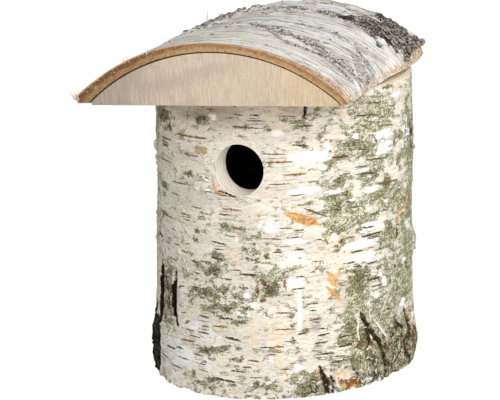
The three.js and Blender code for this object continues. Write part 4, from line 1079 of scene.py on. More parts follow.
def slab_line(y, bottom, top, arc, middle, left, right, slant, count):
    """One line of the slab's section, left to right: a short left face, the arc, and the right
    face. Each point gives x, y, z, how far it lies along the arc, and its turn from upright."""
    start, end = np.arcsin((left - middle) / arc), np.arcsin((right - middle) / arc)
    across = np.linspace(0, 1, count - 2 * EDGE_POINTS)
    turn = start + (end - start) * across
    x, z = middle + arc * np.sin(turn), top - arc + arc * np.cos(turn)
    down = np.arange(EDGE_POINTS) / EDGE_POINTS
    low = down + 1 / EDGE_POINTS
    return np.stack([
        np.concatenate([left + 0 * down, x, x[-1] + slant * low]), np.full(count, y),
        np.concatenate([bottom + (z[0] - bottom) * down, z, z[-1] + (bottom - z[-1]) * low]),
        np.concatenate([0 * down, across, 0 * down + 1]),
        np.concatenate([start + 0 * down, turn, end + 0 * down])], -1)


def roof_bark_sections():
    """Outer and inner lines of the roof's bark at each station, from front to back."""
    outer, inner = [], []
    for share in np.linspace(0, 1, ROOF_STATIONS):
        y = ROOF_FRONT_Y + ROOF_LENGTH * share
        left = -ROOF_HALF_WIDTH * along(BARK_LEFT, share)
        right = ROOF_HALF_WIDTH * along(BARK_RIGHT, share) - ROOF_EDGE_SLANT
        outer.append(slab_line(y, ROOF_BARK_FOOT, ROOF_FLOOR + ROOF_BARK_RISE, ROOF_BARK_ARC,
                               -ROOF_BARK_SHIFT, left, right, ROOF_EDGE_SLANT, ROOF_COLUMNS))
        wood_right = ROOF_HALF_WIDTH * along(WOOD_RIGHT, share) + FIT_GAP
        inner.append(slab_line(y, ROOF_BARK_FOOT, ROOF_FLOOR + ROOF_WOOD_RISE + FIT_GAP,
                               ROOF_WOOD_ARC + FIT_GAP, 0, -ROOF_HALF_WIDTH - FIT_GAP, wood_right,
                               0, ROOF_COLUMNS)[:, :3])
    return np.array(outer), np.array(inner)


def roof_bark_surface(strength):
    """Points, quads and bands of the roof's bark. Each section is an outer line with relief, an
    inner line on the wood and two short lines that join them below; the ends are strips between
    the outer and the inner line, sawn a little unevenly. A vertex's band is its place between
    the two: 1 is outside and 0 inside."""
    outer, inner = roof_bark_sections()
    x, y, z, across, turn = np.moveaxis(outer, -1, 0)
    share = (y - ROOF_FRONT_Y) / ROOF_LENGTH
    edge = smooth(z - ROOF_BARK_FOOT, .5, 4)
    rise = (roof_relief(across, share) + roof_bumps(x, y, roof_fields(x, y), strength)) * edge
    ragged = noise(stacked(x, y * .6, z), 3.1, 31, 3)
    side = (1 - edge) * np.sign(x) * .7 * ragged
    outside = stacked(x + rise * np.sin(turn) + side, y, z + rise * np.cos(turn))
    levels = 1 - np.arange(1, END_LAYERS + 1) / (END_LAYERS + 1)
    share_out = levels[:, None, None]
    between = outside[:, None] * share_out + inner[:, None] * (1 - share_out)
    rings = np.concatenate([outside, between[:, :, -1], inner[:, ::-1], between[:, ::-1, 0]], 1)
    ring = rings.shape[1]
    full = np.ones(ROOF_COLUMNS)
    band = [np.tile(np.concatenate([full, levels, 0 * full, levels[::-1]]), ROOF_STATIONS)]
    points, quads = [rings.reshape(-1, 3)], [wrapped_quads(ROOF_STATIONS, ring, False)]
    first = ROOF_STATIONS * ring
    for station, inward in ((0, 1), (ROOF_STATIONS - 1, -1)):
        middle = between[station, :, 1:-1].copy()
        middle[..., 1] += inward * np.clip(noise(middle, 1.7, 33, 3) * .35 + .3, 0, 1)
        grid = np.zeros((END_LAYERS + 2, ROOF_COLUMNS), int)
        start = station * ring
        grid[0] = start + np.arange(ROOF_COLUMNS)
        grid[1:-1, -1] = start + ROOF_COLUMNS + np.arange(END_LAYERS)
        grid[-1] = start + ROOF_COLUMNS + END_LAYERS + np.arange(ROOF_COLUMNS)[::-1]
        grid[1:-1, 0] = start + ring - 1 - np.arange(END_LAYERS)
        grid[1:-1, 1:-1] = first + np.arange(middle[..., 0].size).reshape(middle.shape[:2])
        first += middle[..., 0].size
        points.append(middle.reshape(-1, 3))
        band.append(np.repeat(levels, ROOF_COLUMNS - 2))
        quads.append(strip_quads(grid))
    return np.concatenate(points), np.concatenate(quads), np.concatenate(band)


def make_roof_bark(settings):
    """Bark of the roof, its long faces with the bark's finish and its two ends sawn."""
    points, quads, band = roof_bark_surface(settings.relief)
    piece = new_piece("roof_bark_fine", points, quads)
    set_fields(piece.data, roof_fields(points[:, 0], points[:, 1]) | {"band": band})
    end_faces = 2 * (END_LAYERS + 1) * (ROOF_COLUMNS - 1)
    finish_faces(piece, 45, roof_bark_finish(), bark_end_finish(),
                 slots=np.arange(len(quads)) >= len(quads) - end_faces)
    return piece


def make_roof_wood(settings):
    """Wood of the roof: the slab's section between its front and back, closed by strips."""
    top, low = [], []
    for share in np.linspace(0, 1, ROOF_WOOD_STATIONS):
        y = ROOF_FRONT_Y + ROOF_LENGTH * share
        right = ROOF_HALF_WIDTH * along(WOOD_RIGHT, share)
        line = slab_line(y, ROOF_FLOOR, ROOF_FLOOR + ROOF_WOOD_RISE, ROOF_WOOD_ARC, 0,
                         -ROOF_HALF_WIDTH, right, 0, ROOF_WOOD_COLUMNS)
        top.append(line[EDGE_POINTS:-EDGE_POINTS, :3])
        low.append(top[-1] * (1, 1, 0) + (0, 0, ROOF_FLOOR))
    top, low = np.array(top), np.array(low)
    piece = new_piece("roof_wood_fine", np.concatenate([top, low[:, ::-1]], 1),
                      tube_quads(ROOF_WOOD_STATIONS, top.shape[1]))
    carve(piece, [screw_hole(*sizes) for sizes in hinge_screws(1)])
    finish_faces(piece, 35, roof_wood_finish())
    return piece


def trunk_frames(azimuth, height, strength):
    """Place on the bark, the direction round the trunk, up, and outwards at each given spot."""
    fields = bark_fields(azimuth, height)
    place = trunk_place(azimuth, height, trunk_radius(height) + trunk_relief(
        azimuth, height, fields, strength))
    turn = np.radians(azimuth)
    return (place, stacked(np.cos(turn), np.sin(turn), 0), stacked(0 * turn, 0, 1),
            stacked(np.sin(turn), -np.cos(turn), 0))


def roof_frames(x, y, strength):
    """Place on the roof's bark, the direction across it, back, and outwards at each spot."""
    turn = np.arcsin(np.clip((x + ROOF_BARK_SHIFT) / ROOF_BARK_ARC, -1, 1))
    share = (y - ROOF_FRONT_Y) / ROOF_LENGTH
    across = (x + 90) / 176
    radius = ROOF_BARK_ARC + roof_relief(across, share) + roof_bumps(
        x, y, roof_fields(x, y), strength)
    outward = stacked(np.sin(turn), 0, np.cos(turn))
    centre = np.array([-ROOF_BARK_SHIFT, 0, ROOF_FLOOR + ROOF_BARK_RISE - ROOF_BARK_ARC])
    place = centre + outward * radius[:, None] + stacked(0, y, 0)
    return place, stacked(np.cos(turn), 0, -np.sin(turn)), stacked(0 * x, 1, 0), outward


def sheets(name, frames, bearing, length, width, curl, thick):
    """Thin scraps that hang on by one edge and curl away, each a small closed sheet. Its cross
    section is an arc that leaves the surface, and its outline narrows to both ends; bearing in
    degrees is the direction of its fixed edge, from the first tangent."""
    place, first, second, outward = (value[:, None, None] for value in frames)
    bearing, length, width, curl = (
        value[:, None, None, None] for value in (bearing, length, width, curl))
    turn = np.radians(bearing)
    edge = np.cos(turn) * first + np.sin(turn) * second
    lift = np.cos(turn) * second - np.sin(turn) * first
    run = np.linspace(-1, 1, SHEET_ROWS)[None, :, None, None]
    reach = np.linspace(0, 1, SHEET_COLUMNS)[None, None, :, None]
    jag = noise(np.concatenate(np.broadcast_arrays(
        run * 1.7 + 0 * reach, reach * 2.1 + 0 * run, 0 * run + 0 * reach + place[..., :1]), -1),
        .8, 51, 2)[..., None]
    shape = 1 - .55 * run ** 2 * reach + .3 * jag * reach
    bend = curl * reach + 1e-4
    out = width * shape * (1 - np.cos(bend)) / curl
    off = width * shape * np.sin(bend) / curl
    base = place + edge * length / 2 * run * (1 - .25 * reach) + lift * off + outward * out
    skin = lift * np.sin(bend) - outward * np.cos(bend)
    low, high = base + skin * thick / 2, base - skin * thick / 2
    low = low - outward * .3 * (1 - reach)
    rings = np.concatenate([high, low[:, :, ::-1]], 2)
    return new_piece(name, rings, repeated(tube_quads(SHEET_ROWS, SHEET_COLUMNS), len(rings),
                                           2 * SHEET_ROWS * SHEET_COLUMNS))


def strands(name, root, direction, length, radius, bend):
    """Thin bent fibres: each a tapered square stick of a few rings from its root along a
    direction, pulled aside by the bend as the square of the distance."""
    direction = direction / np.linalg.norm(direction, axis=-1, keepdims=True)
    length, radius = length[:, None], radius[:, None]
    side = np.cross(direction, (.3, .2, .93))
    side /= np.linalg.norm(side, axis=-1, keepdims=True)
    up = np.cross(direction, side)
    rings = []
    for step in np.linspace(0, 1, STRAND_RINGS):
        middle = root + direction * length * step + np.asarray(bend) * length * step ** 2
        wide = radius * (1 - .75 * step)
        rings.append(np.stack([middle + side * wide, middle + up * wide, middle - side * wide,
                               middle - up * wide], 1))
    points = np.stack(rings, 1)
    quads = np.concatenate([wrapped_quads(STRAND_RINGS, 4, False), end_caps(4, STRAND_RINGS)])
    return new_piece(name, points, repeated(quads, len(points), 4 * STRAND_RINGS))


def make_screw(name, face, outward, shank, head, length, sink=0):
    """Countersunk screw: a turned shank with a thread of shallow rings, a cone, a rim with a
    softened edge, and a cross cut into its flat top."""
    outward = np.asarray(outward, float)
    start = np.asarray(face) - outward * (sink + length)
    neck = length - SCREW_RIM - (head - shank)
    steps = np.arange(int((neck - THREAD_END) / THREAD_PITCH))
    thread = np.stack([np.where(steps % 2, shank - THREAD_DEPTH, shank),
                       THREAD_START + steps * THREAD_PITCH], -1)
    profile = np.concatenate([[(.15, 0)], thread, [
        (shank, neck - .8), (shank, neck), (head, length - SCREW_RIM), (head, length - .12),
        (head - .12, length)]])
    piece = turned(name, profile, start, outward, SCREW_SIDES)
    turn = Vector((0, 0, 1)).rotation_difference(Vector(outward)).to_matrix().to_4x4()
    turn.translation = Vector((np.asarray(face) - outward * sink) * MM)
    reach, half, deep = head * .62, head * .11, head * .4
    cutters = []
    for angle in (45, -45):
        bar = box_cutter("cut_cross", (-reach, -half, -deep), (reach, half, 2))
        bar.data.transform(turn @ Matrix.Rotation(radians(angle), 4, "Z"))
        cutters.append(bar)
    carve(piece, cutters)
    return piece


def make_screws():
    """Every screw of the fittings with the name of its part and the body that it rides on."""
    groups = (("hinge_trunk", "box", hinge_screws(-1)), ("hinge_roof", "roof", hinge_screws(1)),
              ("hanger", "box", hanger_screws()), ("floor", "box", floor_screws()))
    return [(make_screw(f"{kind}_screw_{count}_fine", *sizes), f"{kind}_screw_{count}", body)
            for kind, body, screws in groups for count, sizes in enumerate(screws, 1)]


def make_trunk_scraps(settings):
    """Papery curls and torn flakes of the trunk's bark, most of them along its left side. None
    of the scattered small ones lies at the entrance."""
    small = draws(np.random.default_rng(21), SMALL_FLAKE_RANGES, SMALL_FLAKES)
    flakes = np.concatenate([np.array(FLAKES, float), np.stack(small, -1)])
    keep = np.hypot((flakes[:, 0] - 5) * TRUNK_STEP, flakes[:, 1] - ENTRANCE_HEIGHT) > 21
    keep[:len(FLAKES)] = True
    azimuth, height, *shape = flakes[keep].T
    piece = sheets("trunk_scraps", trunk_frames(azimuth, height, settings.relief), *shape, .3)
    finish_faces(piece, 50, scrap_finish("nestbox_paper", (.8, .74, .62), (.98, .96, .92)))
    return piece


def make_roof_scraps(settings):
    """Crumbs and scales of the roof's rough bark, along its shoulder, seams and back."""
    draw = np.random.default_rng(22)
    shoulder, seams, back = 110, 150, 160
    count = shoulder + seams + back
    x = np.concatenate([draw.normal(-47, 9, shoulder), draw.uniform(-20, 84, seams),
                        draw.uniform(40, 88, back)])
    y = np.concatenate([draw.uniform(-60, 86, shoulder), draw.uniform(-80, 84, seams),
                        draw.uniform(28, 86, back)])
    x = np.clip(x, -86, np.where(y > 40, 79, 83))
    fields = roof_fields(x, y)
    keep = draw.uniform(0, 1, count) < np.clip(fields["rough"] * 1.6, .05, 1)
    size = draw.uniform(.6, 1, count) * (1 + 1.4 * fields["crust"] + .9 * fields["shoulder"])
    bearing, curl = draw.uniform(-40, 40, count), draw.uniform(.4, 1.5, count)
    piece = sheets("roof_scraps", roof_frames(x[keep], y[keep], settings.relief), bearing[keep],
                   2.6 * size[keep], 1.2 * size[keep], curl[keep], .5)
    finish_faces(piece, 50, scrap_finish("nestbox_crumbs", (.19, .17, .15), (.72, .67, .62),
                                         480, .4, .64))
    return piece


def make_roof_fibres():
    """Torn fibres: the fringe of the right lower edge, the tuft at the left tip, a few splinters
    on the front edge and one upright on the shoulder."""
    draw = np.random.default_rng(23)
    fringe, tuft, splinters = 260, 46, np.array(SPLINTERS, float)
    y = draw.uniform(ROOF_FRONT_Y + 1, 86, fringe)
    share = (y - ROOF_FRONT_Y) / ROOF_LENGTH
    x = ROOF_HALF_WIDTH * along(BARK_RIGHT, share) - draw.uniform(0, 3.5, fringe)
    z = ROOF_BARK_FOOT + draw.uniform(.2, 4, fringe)
    aim = stacked(draw.uniform(.3, 1, fringe), draw.normal(0, .9, fringe),
                  draw.normal(-.25, .5, fringe))
    length = draw.uniform(1, 3.2, fringe)
    tip = np.array([-ROOF_HALF_WIDTH * BARK_LEFT[0] + .8, ROOF_FRONT_Y + 3, ROOF_FLOOR + 3.2])
    root = np.concatenate([stacked(x, y, z), tip + draw.normal(0, (.5, 2.2, 1), (tuft, 3)),
                           splinters[:, :3]])
    aim = np.concatenate([aim, draw.normal((-1, -.2, .35), .7, (tuft, 3)), splinters[:, 3:6]])
    length = np.concatenate([length, draw.uniform(2, 5, tuft), splinters[:, 6]])
    radius = np.concatenate([np.full(fringe, .22), np.full(tuft, .42), splinters[:, 7]])
    piece = strands("roof_fibres", root, aim, length, radius, (0, .12, .18))
    finish_faces(piece, 50, scrap_finish("nestbox_fibres", (.74, .59, .43), (.97, .9, .8)))
    return piece


def seen(red, green, blue):
    """A colour as it is seen on the screen, as the shader's linear numbers."""
    return tuple(c / 12.92 if c <= .04045 else ((c + .055) / 1.055) ** 2.4
                 for c in (red, green, blue)) + (1,)


class Value:
    """A number in a material: a socket, with + - * and a few named steps as Math nodes."""

    def __init__(self, nodes, socket):
        self.nodes, self.socket = nodes, socket

    def step(self, operation, *others):
        """One Math node, with this value as its first number."""
        return self.nodes.add("ShaderNodeMath", {"operation": operation},
                              dict(enumerate((self, *others))))

    def __add__(self, other):
        return self.step("ADD", other)

    def __sub__(self, other):
        return self.step("SUBTRACT", other)

    def __rsub__(self, other):
        return (self * -1) + other

    def __mul__(self, other):
        return self.step("MULTIPLY", other)

    def __abs__(self):
        return self.step("ABSOLUTE")

    def most(self, other):
        """The larger of two values."""
        return self.step("MAXIMUM", other)

    def fray(self, noise, amount):
        """This value shaken by a noise, which frays the outline of a mask made from it."""
        return self + (noise - .5) * amount

    def smooth(self, low, high):
        """0 at low, 1 at high, eased between them; low may be the larger."""
        if low > high:
            return 1 - self.smooth(high, low)
        return self.nodes.add(
            "ShaderNodeMapRange", {"interpolation_type": "SMOOTHSTEP"}, {0: self, 1: low, 2: high})


class Nodes:
    """A tree of shader nodes that grows node by node."""

    def __init__(self, tree):
        self.tree = tree

    def add(self, kind, settings, sockets, output=0):
        """A node with its settings, its sockets set or linked, and one of its outputs."""
        node = self.tree.nodes.new(kind)
        for name, value in settings.items():
            setattr(node, name, value)
        for key, value in sockets.items():
            self.feed(node.inputs[key], value)
        return Value(self, node.outputs[output])

    def feed(self, socket, value):
        """Links a value to a socket, or sets the socket to a number or a colour."""
        if isinstance(value, Value):
            self.tree.links.new(value.socket, socket)
        else:
            socket.default_value = value

    def ray(self, kind):
        """1 for rays of a kind and 0 for all others."""
        return self.add("ShaderNodeLightPath", {}, {}, f"Is {kind} Ray")


SOCKETS = {
    "base_color": "Base Color", "roughness": "Roughness", "metallic": "Metallic",
    "normal": "Normal", "specular": "Specular IOR Level",
}


class Finish(Nodes):
    """One procedural material: a colour laid on in steps, round its Principled BSDF. A tone is
    given as it is seen on the screen, and a mask is 0 where a tone is left off."""

    def __init__(self, name, **sockets):
        self.material = bpy.data.materials.new(name)
        self.material.use_nodes = True
        super().__init__(self.material.node_tree)
        self.surface = self.tree.nodes["Principled BSDF"]
        self.place = self.add("ShaderNodeTexCoord", {}, {}, "Object")
        self.colour = None
        self.set(**sockets)

    def set(self, **sockets):
        """Sets or links sockets of the surface."""
        for name, value in sockets.items():
            self.feed(self.surface.inputs[SOCKETS[name]], value)

    def noise(self, scale, detail, stretch=None, roughness=.5):
        """Noise from 0 to 1; scale is in cells to the metre, and stretch scales each axis."""
        place = self.place
        if stretch:
            place = self.add("ShaderNodeMapping", {}, {"Vector": place, "Scale": stretch})
        return self.add("ShaderNodeTexNoise", {}, {
            "Vector": place, "Scale": scale, "Detail": detail, "Roughness": roughness})

    def part(self, axis):
        """One of the object's own coordinates, in millimetres."""
        return self.add("ShaderNodeSeparateXYZ", {}, {0: self.place}, axis) * 1000

    def field(self, name):
        """A field that the mesh carries at its vertices."""
        return self.add("ShaderNodeAttribute", {"attribute_name": name}, {}, "Fac")

    def mix(self, share, first, second):
        """Two tones mixed by a share."""
        first, second = (seen(*tone) if isinstance(tone, tuple) else tone
                         for tone in (first, second))
        return self.add("ShaderNodeMix", {"data_type": "RGBA"}, {0: share, 6: first, 7: second}, 2)

    def start(self, share, first, second):
        """The first colour, two tones mixed by a share."""
        self.colour = self.mix(share, first, second)

    def lay(self, mask, tone, strength=1):
        """Lays a tone over the colour so far."""
        self.colour = self.mix(mask * strength, self.colour, tone)

    def bump(self, height, distance):
        """Bump from a height between 0 and 1, the distance in millimetres."""
        return self.add("ShaderNodeBump", {}, {
            "Strength": 1, "Distance": distance * MM, "Height": height})

    def done(self, **sockets):
        """Links the colour and whatever else varies to the surface and gives the material."""
        self.set(base_color=self.colour, **sockets)
        return self.material


def trunk_bark_finish(settings):
    """Paper bark: pale bands, then growth, patches, lenticels, cracks and curls over them."""
    f = Finish("nestbox_trunk_bark", specular=.1)
    broad = f.noise(34, 5, (1, 1, 2.6))
    fine = f.noise(330, 6, (1, 1, 5), .62)
    hair = f.noise(330, 4, (.3, .3, 3.2), .6)
    streak = f.noise(170, 6, (1, 1, 3.4), .68)
    blotch = f.noise(120, 6, (1, 1, 1.9), .62)
    scraps = f.noise(230, 9, (1, 1, 1.8), .78)
    speck = f.noise(640, 5, (1, 1, 1.5), .75)
    bits = f.noise(980, 4, (1, 1, 1.3), .75)
    clump = f.noise(190, 5, (1, 1, .75), .6)
    torn, grain = f.noise(300, 6, None, .7), f.noise(1500, 3)
    across, height = f.part(0), f.part(2)
    right, left = across.smooth(15, 60), across.smooth(-38, -70)

    # Pale paper with its bands, hairs and flecks, then a brown tint with painted shade under the roof and
    # painted shade on the left side.
    f.start(broad.smooth(.38, .62), tuple(settings.pale), (.9, .87, .805))
    f.lay(f.field("warm").fray(broad, 1.3).smooth(.3, .75), (.975, .9, .775), .8)
    f.lay(fine.smooth(.5, .7), (.7, .65, .54), .6)
    f.lay(fine.smooth(.47, .32), (1, .99, .975), .95)
    f.lay(streak.fray(bits, .6).smooth(.59, .64), (1, .995, .98), .8)
    f.lay(hair.smooth(.6, .66), (.56, .47, .33), .65)
    growing, mossy = f.field("growth") + f.field("lichen") * .5, f.field("moss")
    # The extra flecks on the left are partly the bark's own dark flecks and partly painted shade of that
    # side.
    pepper = bits + growing * .07 + mossy * .05 + right * .02 + left * .06
    f.lay(pepper.smooth(.62, .7), (.47, .42, .29), .75)
    ragged = (streak - .5) * 1.7
    f.lay((f.field("violet") + ragged).smooth(.35, .6), (.68, .62, .59), .6)
    # Brown tint and painted shade: the top band under the roof's overhang is laid darker and browner,
    # partly the bark's own tint and partly the roof's shadow.
    under_roof_tint_and_shade = height.fray(broad, 30).smooth(168, 188) * across.smooth(66, 30)
    f.lay(under_roof_tint_and_shade, (.6, .53, .42), .65)
    # Painted shade: the left side, turned away from the lamp, is laid over with a darker grey-tan.
    f.lay(across.fray(scraps, 40).smooth(-50, -84), (.66, .6, .5), .4)

    # Green growth, kept off the white patches, and the cream and tan ones.
    pale_foot = height.smooth(75, 30) * across.smooth(-10, -45)
    white = (f.field("white") + ragged + pale_foot * .3).smooth(.32, .46)
    cover = growing * (right * .3 + 1.35) + right * .05 - white * .9
    cover = cover.fray(blotch, 3.6).fray(scraps, 3).smooth(.42, .52)
    sage = f.mix(bits.fray(scraps, .8).smooth(.43, .49), (.33, .325, .2), (.615, .61, .46))
    sage = f.mix(bits.fray(scraps, 1.1).smooth(.55, .58), sage, (.93, .91, .83))
    f.lay(cover, sage, .95)
    f.lay(white, (1, .995, .98))
    f.lay((f.field("cream") + ragged * 1.1).smooth(.3, .6),
          f.mix(fine.smooth(.4, .62), (.985, .935, .85), (.9, .82, .7)), .85)
    f.lay((f.field("tan") + ragged * .8).smooth(.35, .55),
          f.mix(fine.smooth(.4, .62), (.8, .72, .58), (.66, .57, .44)), .9)

    # Moss: a thin haze and denser spots.
    haze = (mossy * 1.1).fray(blotch, 2).fray(scraps, 2.8).smooth(.45, .53)
    f.lay(haze, f.mix(bits.smooth(.45, .52), (.37, .36, .21), (.73, .71, .57)), .95)
    spots = mossy.fray(speck, 4).smooth(.72, .84) * mossy.smooth(.05, .15)
    f.lay(spots, f.mix(grain, (.23, .22, .13), (.45, .42, .26)), .9)

    # Torn strokes with orange inner bark.
    orange = ((f.field("orange") + ragged * .8).smooth(.38, .5)).most(
        f.field("stroke").fray(speck, 1.6).smooth(-.3, .3))
    f.lay(orange, f.mix(fine.smooth(.35, .6), (.77, .5, .26), (.95, .77, .52)))

    # Rough crust in dark, olive and pale chips, rusty scars and the charred swelling.
    dark = f.field("rough").fray(torn, 2.8).fray(clump, 1.6).smooth(.48, .6)
    deep = f.mix(bits.smooth(.48, .6), (.14, .115, .08), (.38, .31, .21))
    olive = f.mix(bits.smooth(.45, .55), (.42, .41, .28), (.66, .65, .51))
    chip = f.mix(bits.smooth(.42, .55), (.64, .57, .45), (.9, .87, .78))
    crust = f.mix(clump.fray(torn, .4).smooth(.48, .51), deep, olive)
    f.lay(dark, f.mix(clump.fray(speck, .7).smooth(.57, .61), crust, chip), .95)
    rust = (f.field("rust").fray(torn, 2.6).smooth(.45, .6)).most(
        f.field("scar").fray(speck, 3.4).smooth(-.2, .6) * .75)
    f.lay(rust, f.mix(speck.smooth(.4, .62), (.34, .2, .12), (.64, .43, .26)), .9)
    f.lay(f.field("ridge").fray(torn, 2.6).smooth(.4, .6),
          f.mix(bits.fray(torn, .8).smooth(.53, .63), (.045, .04, .035), (.4, .36, .29)))

    # Lenticels, curls and cracks.
    wobble = (f.noise(800, 3) - .5) * 1.1
    worn = f.noise(430, 4, None, .7) * 2.6 - .55
    dash = f.field("dash_half") * worn - abs(f.field("dash_offset") + wobble * 1.2)
    dash = dash.smooth(-.14, .12)
    warmth = (f.field("dash_warmth") + (grain - .5)).smooth(.05, 1)
    f.lay(dash, f.mix(warmth, (.33, .31, .2), (.62, .47, .28)))
    f.lay((f.field("curl") + wobble * .7).fray(torn, 2.4).smooth(-.15, .2),
          f.mix(f.field("curl_tone"), (.36, .31, .2), (.97, .95, .91)), .9)
    crack = f.field("crack").fray(torn, 5.5).fray(clump, 2).smooth(-.45, .35)
    shallow = f.field("shallow")
    inside = f.mix((speck + shallow * .1).smooth(.52, .62), (.05, .042, .035), (.34, .27, .17))
    inside = f.mix(hair.fray(speck, .5).smooth(.58, .62) * shallow.smooth(0, 1),
                   inside, (.62, .56, .4))
    f.lay(crack, inside)
    relief = fine * .5 + speck * .4 + dash * .3 + spots * .3 + cover * .3 - crack
    return f.done(roughness=(fine * .3 + .55).most(cover * .9),
                  normal=f.bump(relief + dark * clump * 1.2, .55))


def sawn_bark_finish():
    """Cut faces of the trunk's bark: tan with upright fibres and a few dark grains, and a painted
    highlight that makes the top rim, in the roof's shade, a lighter cream.
    """
    f = Finish("nestbox_sawn_bark", roughness=.85)
    fibre, grain = f.noise(900, 5, (1, 1, .18), .65), f.noise(1100, 4, None, .6)
    f.start(fibre.smooth(.38, .62), (.86, .77, .63), (.7, .57, .42))
    # Painted highlight: the top rim, shaded by the roof, is laid in a lighter cream so that it looks lit.
    f.lay(f.part(2).smooth(185, 186.6), (1, .955, .87), .85)
    f.lay(grain.smooth(.58, .68), (.55, .42, .3), .7)
    return f.done(normal=f.bump(fibre, .3))


def trunk_wood_finish():
    """Sawn birch: cream, with year rings round the trunk's middle where it is cut across and
    streaks where it is cut along."""
    f = Finish("nestbox_trunk_wood", roughness=.8)
    streak, wave = f.noise(500, 3, (1, 1, .12)), f.noise(45, 3)
    x, y = f.part(0) - 4, f.part(1) - 5
    ring = ((x * x + y * y).step("SQRT") * .42 + wave * 3).step("FRACT")
    f.start(streak.smooth(.35, .7), (.9, .82, .68), (.8, .69, .52))
    f.lay(ring.smooth(.55, .95) * ring.smooth(1, .97), (.62, .49, .34), .35)
    f.lay(f.noise(1400, 4, None, .7).smooth(.55, .65), (.6, .48, .35), .3)
    return f.done(normal=f.bump(streak, .2))


def bore_finish():
    """Wall of the entrance: pale scraped wood with faint marks along the grain."""
    f = Finish("nestbox_bore", roughness=.75)
    marks = f.noise(420, 4, (1, 1, .25))
    f.start(marks.smooth(.35, .7), (1, .98, .94), (.94, .9, .83))
    return f.done(normal=f.bump(marks, .2))


def cavity_finish():
    """Inside of the trunk, painted dark brown as painted shade, so that the hollow seen through the
    entrance looks black.
    """
    f = Finish("nestbox_cavity", roughness=.9)
    streak = f.noise(300, 4, (1, 1, .15))
    # Painted shade: these dark browns stand in for the shade inside the hollow.
    f.start(streak.smooth(.3, .7), (.2, .16, .12), (.34, .27, .2))
    return f.done(normal=f.bump(streak, .3))


def roof_bark_finish():
    """Bark of the thicker log: silver paper in streaks across the log, rough crust where it is
    torn, peach fibres along the lower edge, and an ochre line at the right of the front."""
    f = Finish("nestbox_roof_bark", specular=.25)
    streak = f.noise(260, 7, (.1, 1, .1), .66)
    fine = f.noise(800, 6, (.12, 1, .12), .66)
    cloud = f.noise(38, 4, (.5, 1, .5))
    lump, speck = f.noise(210, 7, (.6, 1, .6), .7), f.noise(900, 4, None, .65)
    chunk = f.noise(150, 5, (.6, 1, .6), .6)
    lumpy, across, forward = lump - .5, f.part(0), f.part(1) * -1

    # Silver paper, streaked and flecked, and duller on the right flank.
    f.start(cloud.smooth(.4, .62), (.945, .945, .935), (.92, .89, .84))
    f.lay(streak.smooth(.52, .66), (.64, .61, .56), .75)
    f.lay(streak.smooth(.47, .3), (.99, .985, .97), .7)
    f.lay(fine.fray(streak, .5).smooth(.56, .6), (.34, .32, .31), .85)
    f.lay(fine.smooth(.45, .36), (1, .99, .975), .6)
    f.lay((speck + lumpy * .5).smooth(.58, .66), (.46, .42, .36), .6)
    flank = across.fray(cloud, 60).smooth(35, 70) * forward.smooth(-60, 0)
    f.lay((streak + lumpy * .6).smooth(.46, .56) * flank,
          f.mix(speck.smooth(.42, .56), (.55, .5, .44), (.83, .78, .71)), .7)

    # Seams, the scuffed place, the shoulder and the torn crust at the back.
    crusty = f.mix(speck.fray(chunk, .8).smooth(.4, .5), (.22, .2, .19), (.56, .52, .47))
    crusty = f.mix((speck + lumpy * .6).smooth(.54, .6), crusty, (.92, .89, .85))
    f.lay((f.field("seam") * .5 + lumpy * 8).smooth(-.7, .4), crusty, .95)
    bruise = f.mix(speck.smooth(.42, .5), (.33, .3, .29), (.66, .62, .6))
    f.lay((f.field("scuffed") + lumpy * 5).smooth(.5, .7),
          f.mix((speck + lumpy * .5).smooth(.52, .6), bruise, (.93, .91, .88)), .85)
    f.lay((f.field("shoulder") + lumpy * 3).smooth(.55, .8), crusty, .85)
    grey = f.mix(speck.smooth(.42, .56), (.24, .215, .195), (.52, .475, .44))
    torn = f.mix((chunk + lumpy * 1.2).smooth(.51, .56), (.08, .07, .065), grey)
    pale = (speck.fray(chunk, 1.1) + across.smooth(66, 80) * .03).smooth(.6, .66)
    f.lay((f.field("crust") + lumpy * 2.4).smooth(.36, .6),
          f.mix(pale, torn, (.88, .82, .77)), .97)

    # Peeled strips, the fringed hem, the front edge and the black tear.
    f.lay(f.field("strips").fray(fine, 2.6).smooth(.4, .55),
          f.mix(fine.smooth(.46, .54), (1, .99, .96), (.9, .85, .77)))
    f.lay((f.field("hem") + lumpy * 2.4).smooth(.5, .7),
          f.mix((speck + lumpy).smooth(.42, .56), (.55, .41, .28), (.95, .87, .78)), .9)
    brow = (forward - 84 + lumpy * 12 + across.smooth(45, 85) * 5).smooth(1.5, 4)
    f.lay(brow * across.smooth(0, 45),
          f.mix((speck + lumpy).smooth(.42, .58), (.6, .43, .28), (.9, .79, .66)), .9)
    f.lay(f.field("tear"), (.04, .035, .03))
    height = streak * .7 + lump * f.field("rough") * 1.5 + fine * .5 + speck * .25
    return f.done(roughness=streak * .3 + .5,
                  normal=f.bump(height + chunk * f.field("crust") * 1.5, .8))


def bark_end_finish():
    """Sawn end of the roof's bark: ochre inside, reddish outside, a pale outermost line, a dark
    one on the wood, and all of it darker towards the left."""
    f = Finish("nestbox_bark_end", roughness=.85)
    band = f.field("band")
    speck, patch = f.noise(1000, 6, None, .7), f.noise(160, 5, None, .6)
    left = f.part(0).fray(patch, 60).smooth(10, -60)
    f.start(band.fray(speck, .35).fray(patch, .9).smooth(.4, .62),
            f.mix(left, (.78, .62, .43), (.64, .49, .32)),
            f.mix(left, (.67, .49, .32), (.47, .31, .19)))
    f.lay(speck.smooth(.52, .66), (.87, .74, .56), .7)
    f.lay(speck.smooth(.46, .32), (.3, .2, .12), .8)
    f.lay(band.fray(speck, .2).smooth(.86, .94), (.86, .71, .53), .8)
    f.lay(band.fray(speck, .12).smooth(.13, .05), (.13, .085, .05))
    return f.done(normal=f.bump(speck, .6))


